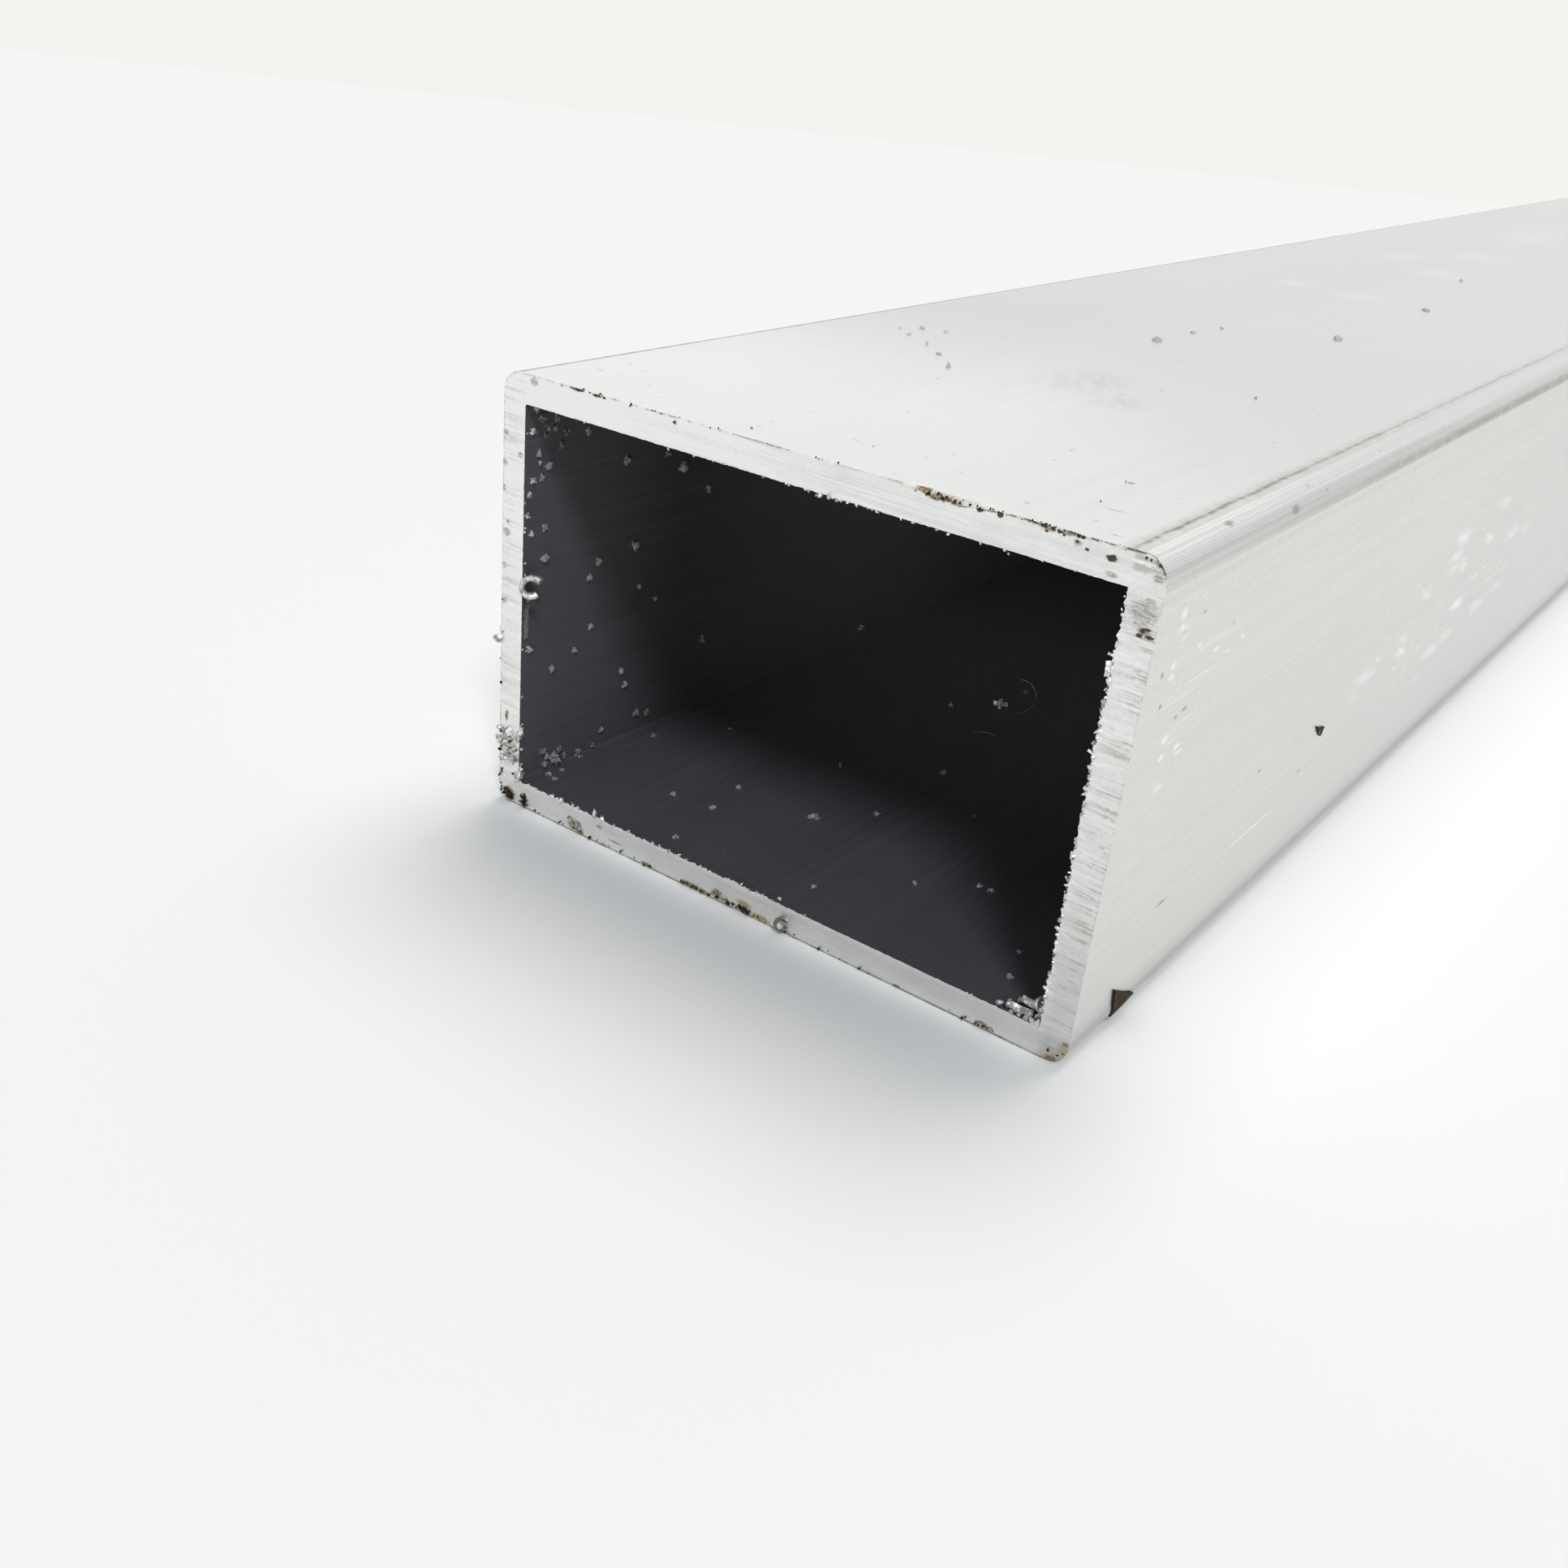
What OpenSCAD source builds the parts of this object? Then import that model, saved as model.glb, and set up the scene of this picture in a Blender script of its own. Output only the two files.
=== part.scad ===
// Rectangular tube, extruded as one piece and sawn square to length.
// It lies on a wide face: X runs across the section, Y along the tube and Z upwards.
// The origin is at the middle of the face that it lies on.

/* [Section] */
// Width over the outer faces
section_w = 76.2; // [40:0.1:160]
// Height over the outer faces
section_h = 50.8; // [30:0.1:120]
// Wall thickness, the same on all four sides
wall = 3.175; // [1.2:0.025:6.5]
// Radius of the four long outer corners
outer_corner_r = 2.38; // [0.5:0.01:6]
// Radius of the four long corners of the bore, which the die leaves nearly sharp
bore_corner_r = 0.25; // [0.1:0.05:2]

/* [Length] */
// Length from saw cut to saw cut
tube_length = 609.6; // [150:0.1:6000]

/* [Hidden] */

bore_w = section_w - 2 * wall;
bore_h = section_h - 2 * wall;
arc_facets = 64;

// A rectangle about the origin with four round corners
module rounded_rectangle(w, h, r) {
    square([w - 2 * r, h], center = true);
    square([w, h - 2 * r], center = true);
    for (side_x = [-1, 1], side_y = [-1, 1])
        translate([side_x * (w / 2 - r), side_y * (h / 2 - r)])
            circle(r = r, $fn = arc_facets);
}

// The hollow section that comes out of the die
module tube_section() {
    difference() {
        rounded_rectangle(section_w, section_h, outer_corner_r);
        rounded_rectangle(bore_w, bore_h, bore_corner_r);
    }
}

// The section run out to length, lying on its wide face
module tube() {
    color("gainsboro")
        translate([0, tube_length / 2, section_h / 2])
            rotate([90, 0, 0])
                linear_extrude(height = tube_length)
                    tube_section();
}

tube();
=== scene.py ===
import math

import bpy
from mathutils import Matrix, Vector


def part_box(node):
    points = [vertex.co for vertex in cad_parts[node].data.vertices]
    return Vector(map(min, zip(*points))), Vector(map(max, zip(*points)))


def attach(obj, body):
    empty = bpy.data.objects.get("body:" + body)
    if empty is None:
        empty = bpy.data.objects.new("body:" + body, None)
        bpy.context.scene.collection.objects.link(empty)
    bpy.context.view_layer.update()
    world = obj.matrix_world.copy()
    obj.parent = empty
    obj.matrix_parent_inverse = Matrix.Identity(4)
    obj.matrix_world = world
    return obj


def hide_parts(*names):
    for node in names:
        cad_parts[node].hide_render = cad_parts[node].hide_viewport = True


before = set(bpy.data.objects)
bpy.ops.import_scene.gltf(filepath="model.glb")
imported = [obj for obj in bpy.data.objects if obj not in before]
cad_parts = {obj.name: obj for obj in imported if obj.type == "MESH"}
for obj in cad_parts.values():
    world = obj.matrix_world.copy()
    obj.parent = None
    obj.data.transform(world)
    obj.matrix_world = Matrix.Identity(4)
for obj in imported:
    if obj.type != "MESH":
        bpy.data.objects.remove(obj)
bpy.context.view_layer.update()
tubeLow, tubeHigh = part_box("tube")
tubeSize = tubeHigh - tubeLow
mm = 0.001
frontY = tubeLow.y  # the photographed saw cut
sideFace, topFace, wallThick, tubeLong = 38.1, 50.8, 3.175, 609.6  # in mm, for places told in mm
scene = bpy.context.scene
scene.view_settings.view_transform = "Standard"
print("frame loaded, tube", [round(v, 4) for v in tubeSize])


class Wire:  # a node's output that can stand in a sum
    def __init__(self, tree, socket):
        self.tree = tree
        self.socket = socket

    def __add__(self, other):
        return calc("ADD", self, other)

    def __radd__(self, other):
        return calc("ADD", other, self)

    def __sub__(self, other):
        return calc("SUBTRACT", self, other)

    def __rsub__(self, other):
        return calc("SUBTRACT", other, self)

    def __mul__(self, other):
        return calc("MULTIPLY", self, other)

    def __rmul__(self, other):
        return calc("MULTIPLY", other, self)

    def __truediv__(self, other):
        return calc("DIVIDE", self, other)

    def __rtruediv__(self, other):
        return calc("DIVIDE", other, self)


def plug(tree, socket, value):
    if isinstance(value, list):  # several wires into one joining socket
        for one in value:
            tree.links.new(one.socket, socket)
    elif isinstance(value, Wire):
        tree.links.new(value.socket, socket)
    else:
        socket.default_value = value


def addNode(tree, kind, inputs=None, **settings):
    made = tree.nodes.new(kind)
    for key, value in settings.items():
        setattr(made, key, value)
    for key, value in (inputs or {}).items():
        plug(tree, made.inputs[key], value)
    return made


def wire(tree, kind, inputs=None, output=0, **settings):
    return Wire(tree, addNode(tree, kind, inputs, **settings).outputs[output])


def treeOf(values):
    return next(value.tree for value in values if isinstance(value, Wire))


def calc(operation, *values):
    return wire(treeOf(values), "ShaderNodeMath", dict(enumerate(values)), operation=operation)


def vecCalc(operation, *values, output=0):
    inputs = dict(enumerate(values))
    return wire(treeOf(values), "ShaderNodeVectorMath", inputs, output, operation=operation)


def scaled(vector, factor):
    inputs = {0: vector, "Scale": factor}
    return wire(treeOf([vector, factor]), "ShaderNodeVectorMath", inputs, operation="SCALE")


def joinXyz(x, y, z):
    return wire(treeOf([x, y, z]), "ShaderNodeCombineXYZ", {0: x, 1: y, 2: z})


def splitXyz(vector):
    made = addNode(vector.tree, "ShaderNodeSeparateXYZ", {0: vector})
    return [Wire(vector.tree, made.outputs[k]) for k in range(3)]


def smooth(value, low, high, toLow=0.0, toHigh=1.0):
    inputs = {"Value": value, "From Min": low, "From Max": high, "To Min": toLow, "To Max": toHigh}
    return wire(value.tree, "ShaderNodeMapRange", inputs, interpolation_type="SMOOTHSTEP")


def clampTo(value, limit):
    return calc("MAXIMUM", calc("MINIMUM", value, limit), limit * -1.0)


def noise(vector, scale=1.0, detail=2.0, roughness=0.5):
    inputs = {"Vector": vector, "Scale": scale, "Detail": detail, "Roughness": roughness}
    return wire(vector.tree, "ShaderNodeTexNoise", inputs)


def mixColour(factor, first, second):
    inputs = {0: factor, 6: first, 7: second}
    return wire(factor.tree, "ShaderNodeMix", inputs, 2, data_type="RGBA")


def rgb(r, g, b):
    return (r, g, b, 1.0)


# shader groups shared by the finishes


def newGroup(name, inputs, outputs):
    tree = bpy.data.node_groups.new(name, "ShaderNodeTree")
    for label, value in inputs.items():
        kind = "NodeSocketVector" if isinstance(value, tuple) else "NodeSocketFloat"
        made = tree.interface.new_socket(label, in_out="INPUT", socket_type=kind)
        made.default_value = value
    for label in outputs:
        tree.interface.new_socket(label, in_out="OUTPUT", socket_type="NodeSocketFloat")
    start = tree.nodes.new("NodeGroupInput")
    end = tree.nodes.new("NodeGroupOutput")
    return tree, {label: Wire(tree, start.outputs[label]) for label in inputs}, end


def useGroup(group, inputs):
    tree = treeOf(inputs.values())
    made = tree.nodes.new("ShaderNodeGroup")
    made.node_tree = group
    for key, value in inputs.items():
        plug(tree, made.inputs[key], value)
    return [Wire(tree, socket) for socket in made.outputs]


def dieLineGroup():  # lines that the die leaves along the tube
    inputs = {"Vector": (0, 0, 0), "Pitch": 0.0002, "Run": 0.12}
    tree, put, end = newGroup("dieLines", inputs, ["Fine", "Broad"])
    stretched = vecCalc("DIVIDE", put["Vector"], joinXyz(put["Pitch"], put["Run"], put["Pitch"]))
    plug(tree, end.inputs["Fine"], noise(stretched, 1.0, 2.0, 0.6))
    plug(tree, end.inputs["Broad"], noise(stretched, 0.11, 3.0, 0.55))
    return tree


def speckGroup():  # sparse specks, one at most in each cell
    inputs = {
        "Vector": (0, 0, 0), "Cell": (0.002, 0.002, 0.002),
        "Size": 0.2, "Share": 0.3, "Core": 0.45, "Tear": 0.0,
    }
    tree, put, end = newGroup("specks", inputs, ["Mask"])
    cells = vecCalc("DIVIDE", put["Vector"], put["Cell"])
    made = addNode(tree, "ShaderNodeTexVoronoi", {"Vector": cells, "Scale": 1.0})
    chance, swell = splitXyz(Wire(tree, made.outputs["Color"]))[:2]
    reach = put["Size"] * (swell * 0.7 + 0.4)
    distance = Wire(tree, made.outputs["Distance"]) + (noise(cells, 3.1, 2.0, 0.6) - 0.5) * put["Tear"]
    spot = smooth(distance, reach, reach * put["Core"])
    plug(tree, end.inputs["Mask"], spot * calc("LESS_THAN", chance, put["Share"]))
    return tree


def spotGroup():  # one ragged spot at a given place
    inputs = {
        "Vector": (0, 0, 0), "Centre": (0, 0, 0), "Reach": (0.001, 0.001, 0.001),
        "Tear": 0.0, "Core": 0.45,
    }
    tree, put, end = newGroup("raggedSpot", inputs, ["Mask"])
    away = vecCalc("DIVIDE", vecCalc("SUBTRACT", put["Vector"], put["Centre"]), put["Reach"])
    distance = vecCalc("LENGTH", away, output=1)
    plug(tree, end.inputs["Mask"], smooth(distance + put["Tear"], 1.0, put["Core"]))
    return tree


dieLines = dieLineGroup()
specks = speckGroup()
raggedSpot = spotGroup()


def speckMask(coords, cell, size, share, core=0.45, tear=0.0):
    inputs = {"Vector": coords, "Cell": cell, "Size": size, "Share": share, "Core": core, "Tear": tear}
    return useGroup(specks, inputs)[0]


def spotMask(coords, spots, ragged, core=0.45):  # spots as (x, from front, z, reach x, y, z) in mm
    mask = None
    inputs = {"Vector": coords, "Tear": (noise(coords, 2900.0, 3.0, 0.75) - 0.5) * ragged, "Core": core}
    for x, y, z, rx, ry, rz in spots:
        inputs["Centre"] = (x * mm, frontY + y * mm, z * mm)
        inputs["Reach"] = (rx * mm, ry * mm, rz * mm)
        one = useGroup(raggedSpot, inputs)[0]
        mask = one if mask is None else calc("MAXIMUM", mask, one)
    return mask


def newMaterial(name):
    made = bpy.data.materials.new(name)
    made.use_nodes = True
    tree = made.node_tree
    tree.nodes.clear()
    shader = tree.nodes.new("ShaderNodeBsdfPrincipled")
    end = tree.nodes.new("ShaderNodeOutputMaterial")
    tree.links.new(shader.outputs["BSDF"], end.inputs["Surface"])
    coords = wire(tree, "ShaderNodeTexCoord", output=3)
    return made, tree, shader, coords


def bumped(tree, height, distance, strength):
    inputs = {"Height": height, "Distance": distance, "Strength": strength}
    return wire(tree, "ShaderNodeBump", inputs)


millFinish = {
    "pale": rgb(0.84, 0.842, 0.807),
    "dull": rgb(0.75, 0.752, 0.722),
    # painted glint colour
    "glint": rgb(0.96, 0.96, 0.955),
    # painted light on the top near the cut, also used for pale streaks
    "paleAndLit": rgb(0.95, 0.95, 0.912),
    # grey of grooves and rubbing, also used for painted shade on the corner band and the foot of the sides
    "grooveAndShade": rgb(0.50, 0.50, 0.48),
    "sideShade": rgb(0.56, 0.56, 0.548),  # painted shade on the sides, heavier low down
    "speck": rgb(0.26, 0.25, 0.23),
    "dirt": rgb(0.20, 0.175, 0.135),
    "grime": rgb(0.045, 0.032, 0.018),
    "ochre": rgb(0.40, 0.30, 0.12),
    "knocked": rgb(0.80, 0.785, 0.72),
    "roughness": (0.385, 0.435),
    "cornerRoughness": 0.2,  # added where the corners turn
    "linePitch": 0.2 * mm,
    "lineRun": 140 * mm,
    "cornerPitch": 0.13 * mm,
    "dirtLineX": 34.5 * mm,  # along the top, just inside the right corner
    # marks on the top and right faces: x, from front, z, then reach in x, y, z, all in mm
    "darkMarks": [
        (32.0, 2.3, 50.8, 0.9, 0.16, 1), (28.6, 9.0, 50.8, 1.5, 0.16, 1),
        (25.4, 18.6, 50.8, 0.6, 0.7, 1),
        (38.1, 16.4, 11.5, 1, 1.7, 0.34), (38.1, 4.3, 36.5, 1, 0.5, 0.4),
        (38.1, 29.2, 49.5, 1, 1.5, 0.6),
        (36.7, 15.1, 50.6, 0.5, 1.2, 0.6), (38.1, 10.2, 43.9, 1, 0.5, 0.25),
        (38.1, 10.5, 34.5, 1, 0.8, 0.3),
        (38.1, 8.7, 34.2, 1, 0.5, 0.3), (38.1, 37.8, 18.8, 1, 0.7, 0.3),
        (38.1, 53.0, 13.6, 1, 0.8, 0.35),
        (38.1, 3.2, 39.8, 1, 0.5, 0.5),
    ],
    # painted glints on the right face, where scratches catch the light
    "glintMarks": [
        (38.1, 5.3, 44.9, 1, 0.9, 0.9), (38.1, 5.5, 43.6, 1, 0.7, 0.5), (38.1, 15.3, 39.0, 1, 0.8, 0.4),
        (38.1, 21.7, 38.6, 1, 0.7, 0.3), (38.1, 5.4, 40.1, 1, 0.8, 0.5), (38.1, 5.5, 39.0, 1, 1.0, 0.5),
        (38.1, 7.2, 32.4, 1, 1.2, 0.7), (38.1, 10.6, 30.7, 1, 1.1, 0.5),
        (38.1, 10.7, 40.6, 1, 0.6, 0.3),
        (38.1, 7.3, 30.6, 1, 0.9, 0.6), (38.1, 18.4, 38.0, 1, 0.7, 0.25),
        (38.1, 12.8, 37.2, 1, 7.5, 0.09),
        (38.1, 9.4, 36.1, 1, 6.0, 0.08), (38.1, 16.0, 40.2, 1, 6.5, 0.07),
        (38.1, 11.0, 33.4, 1, 5.0, 0.08),
        (38.1, 39.5, 10.9, 1, 11.0, 0.16),
    ],
    "glintPatches": [(38.1, 104, 25, 4, 52, 15), (38.1, 9, 31, 4, 8, 8), (38.1, 7, 42, 4, 8, 6)],
    "paleStreaks": [
        (-1.2, 164.7, 50.8, 7.0, 8.0, 1), (-14.3, 166.6, 50.8, 5.0, 9.0, 1),
        (-16.3, 232.5, 50.8, 6.0, 14, 1),
        (-2.8, 214.8, 50.8, 7.0, 13, 1), (-5.8, 254.6, 50.8, 9.0, 18, 1),
        (-10.6, 320.0, 50.8, 8.0, 26, 1),
    ],
    "rubMark": [(2.0, 55.5, 50.8, 7.5, 11, 1), (9.5, 49.0, 50.8, 4.5, 7, 1)],
    # grime on the top's front edge, told in the same way
    "edgeStains": [
        (16.0, 0.0, 50.2, 2.8, 0.5, 1.0), (14.2, 0.3, 50.8, 1.1, 0.55, 1),
        (35.6, 0, 50.6, 2.2, 0.25, 1),
    ],
}


def millSkin():
    made, tree, shader, coords = newMaterial("millSkin")
    x, y, z = splitXyz(coords)
    fromFront = y - frontY
    lines = {"Vector": coords, "Pitch": millFinish["linePitch"], "Run": millFinish["lineRun"]}
    fine, broad = useGroup(dieLines, lines)
    lines["Pitch"] = millFinish["cornerPitch"]
    ridged = useGroup(dieLines, lines)[0]
    smudge = noise(vecCalc("MULTIPLY", coords, (22.0, 9.0, 22.0)), 1.0, 4.0, 0.6)
    grain = noise(coords, 1500.0, 2.0, 0.6)
    onTop = smooth(z, 50.2 * mm, 50.7 * mm)
    wide = calc("ABSOLUTE", x)
    tall = calc("ABSOLUTE", z - topFace * 0.5 * mm)
    corner = smooth(wide, 34.9 * mm, 35.5 * mm) * smooth(tall, 22.2 * mm, 23.0 * mm)
    side = smooth(wide, 36.8 * mm, 37.4 * mm)
    # painted light: the top paler near the cut and towards the left, darker far back and towards the right,
    # with pale streaks further back
    topLightBias = onTop * (smooth(fromFront, 5 * mm, 75 * mm, 0.12, -0.25) - smooth(x, 5 * mm, 32 * mm) * 0.12)
    tone = broad * 0.28 + smudge * 0.62 + (fine - 0.5) * (0.16 + side * 0.3)
    tone = tone + (grain - 0.5) * (0.3 + side * 0.2) + 0.05 + topLightBias
    colour = mixColour(smooth(tone, 0.30, 0.70), millFinish["dull"], millFinish["pale"])
    paleAndLit = onTop * smooth(x, 34 * mm, -24 * mm) * smooth(fromFront, 85 * mm, 12 * mm) * 0.8
    paleAndLit = calc("MAXIMUM", paleAndLit, spotMask(coords, millFinish["paleStreaks"], 1.2, -0.2) * 0.3)
    colour = mixColour(paleAndLit, colour, millFinish["paleAndLit"])
    # painted shade: the sides darker towards the bottom
    colour = mixColour(side * smooth(z, 48 * mm, 4 * mm, 0.2, 0.46), colour, millFinish["sideShade"])
    scored = smooth(fine, 0.52, 0.36) * smooth(fromFront, 80 * mm, 15 * mm, 0.04, 0.07)
    colour = mixColour(side * scored, colour, millFinish["grooveAndShade"])
    # ridges that the die left along the corners, with painted shade over the corner band, most on its lower
    # part and far back
    nearCorner = corner * smooth(x, 0.0, 1.0 * mm)
    grooveAndShade = smooth(ridged, 0.58, 0.40) * smooth(fromFront, 160 * mm, 20 * mm, 0.35, 1.0) * 0.4
    grooveAndShade = grooveAndShade + smooth(z, 49.2 * mm, 50.4 * mm, 0.2, 0.03)
    grooveAndShade = grooveAndShade + smooth(fromFront, 40 * mm, 130 * mm, 0.0, 0.1)
    colour = mixColour(grooveAndShade * nearCorner, colour, millFinish["grooveAndShade"])
    # painted glints: bright dashes and smears in patches, where scratches catch the light
    patch = smooth(noise(vecCalc("MULTIPLY", coords, (40.0, 12.0, 40.0)), 1.0, 2.0, 0.5), 0.56, 0.72)
    patch = calc("MAXIMUM", patch * 0.5, spotMask(coords, millFinish["glintPatches"], 0.3))
    leaned = joinXyz(x, y, z + y * 0.11)
    dash = speckMask(coords, (0.0014, 0.0052, 0.0012), 0.34, 0.3, 0.2, 0.3)
    smear = speckMask(leaned, (0.0034, 0.0105, 0.0030), 0.58, 0.55, 0.0, 0.5)
    distant = smooth(fromFront, 30 * mm, 65 * mm)
    paintedGlints = (dash * (1.0 - distant * 0.2) * 0.45 + smear * distant * 0.75) * patch * side
    paintedGlints = calc("MAXIMUM", paintedGlints, spotMask(coords, millFinish["glintMarks"], 1.1, 0.1) * 0.8)
    colour = mixColour(paintedGlints, colour, millFinish["glint"])
    # grey rub mark on the top
    strokes = noise(joinXyz((x + y * 0.6) * 700.0, (y - x * 0.6) * 90.0, 0.0), 1.0, 2.0, 0.6)
    greyed = spotMask(coords, millFinish["rubMark"], 1.0, -0.2) * smooth(strokes, 0.62, 0.42, 0.2, 1.0)
    colour = mixColour(greyed * 0.4, colour, millFinish["grooveAndShade"])
    # dark specks and dashes
    dot = speckMask(coords, (0.003, 0.005, 0.003), 0.1, 0.7)
    nick = speckMask(coords, (0.0042, 0.0017, 0.004), 0.2, 0.4, 0.2, 0.3)
    nick = nick * onTop * smooth(fromFront, 30 * mm, 2 * mm)
    marks = calc("MAXIMUM", dot * 0.35, nick * 0.4)
    marks = calc("MAXIMUM", marks, spotMask(coords, millFinish["darkMarks"], 1.3, 0.15) * 0.75)
    colour = mixColour(marks, colour, millFinish["speck"])
    # broken line of dirt along the top and a paler one in the far corner; the dark line under the near
    # corner and the foot of the sides are painted shade
    wander = (noise(joinXyz(0.0, y * 160.0, 0.0), 1.0, 3.0, 0.7) - 0.5) * 0.7 * mm
    away = calc("ABSOLUTE", x - millFinish["dirtLineX"] + wander)
    broken = smooth(noise(coords, 420.0, 3.0, 0.7), 0.36, 0.62)
    fade = smooth(fromFront, 110 * mm, 2 * mm, 0.55, 1.0)
    line = smooth(away, 0.36 * mm, 0.06 * mm) * 0.6 + smooth(away, 1.4 * mm, 0.15 * mm) * 0.34
    dirt = line * onTop * fade * (broken * 0.55 + 0.45)
    farLine = smooth(calc("ABSOLUTE", x + 36.2 * mm), 0.8 * mm, 0.25 * mm) * smooth(z, 49.2 * mm, 49.8 * mm)
    dirt = calc("MAXIMUM", dirt, farLine * fade * (broken * 0.3 + 0.5))
    # painted shade: a dark line along the foot of the right corner
    underLine = smooth(calc("ABSOLUTE", z - 48.6 * mm), 0.9 * mm, 0.1 * mm) * smooth(x, 37.0 * mm, 37.6 * mm)
    dirt = calc("MAXIMUM", dirt, underLine * smooth(fromFront, 8 * mm, 90 * mm) * (broken * 0.2 + 0.21))
    # painted shade: the foot of the sides darker
    foot = smooth(z, 5.5 * mm, 1.2 * mm) * side
    dirt = calc("MAXIMUM", dirt, foot * 0.08)
    colour = mixColour(foot * 0.6, colour, millFinish["grooveAndShade"])
    colour = mixColour(dirt, colour, millFinish["dirt"])
    # the knocked edge is dull, with ochre and black grime caught in it
    knocked = smooth(calc("ABSOLUTE", z - topFace * mm), 0.004 * mm, 0.03 * mm)
    knocked = knocked * smooth(z, 48.6 * mm, 49.2 * mm) * smooth(fromFront, 1.2 * mm, 0.9 * mm)
    knocked = knocked * smooth(x, 9 * mm, 11 * mm) * smooth(x, 26.5 * mm, 25 * mm)
    colour = mixColour(knocked, colour, millFinish["knocked"])
    stain = spotMask(coords, millFinish["edgeStains"], 1.3, 0.5)
    caught = noise(coords, 3400.0, 3.0, 0.75)
    black = stain * smooth(caught + fromFront * 160.0, 0.62, 0.48)
    colour = mixColour(stain * smooth(caught, 0.40, 0.50, 0.35, 0.9), colour, millFinish["ochre"])
    colour = mixColour(black, colour, millFinish["grime"])
    covered = calc("MAXIMUM", calc("MAXIMUM", dirt, marks), calc("MAXIMUM", knocked * 1.25, stain))
    low, high = millFinish["roughness"]
    rough = smooth(smudge + (fine - 0.5) * 0.3, 0.3, 0.7, low, high) - paintedGlints * 0.1
    plug(tree, shader.inputs["Base Color"], colour)
    plug(tree, shader.inputs["Metallic"], calc("MAXIMUM", 1.0 - covered * 0.8, 0.0))
    plug(tree, shader.inputs["Roughness"], rough + nearCorner * millFinish["cornerRoughness"])
    height = fine * 0.5 + ridged * corner * 0.8 + broad * 0.4 + grain * 0.35 - marks * 0.6 + paintedGlints * 0.3
    plug(tree, shader.inputs["Normal"], bumped(tree, height, 0.02 * mm, 0.6))
    return made


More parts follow.
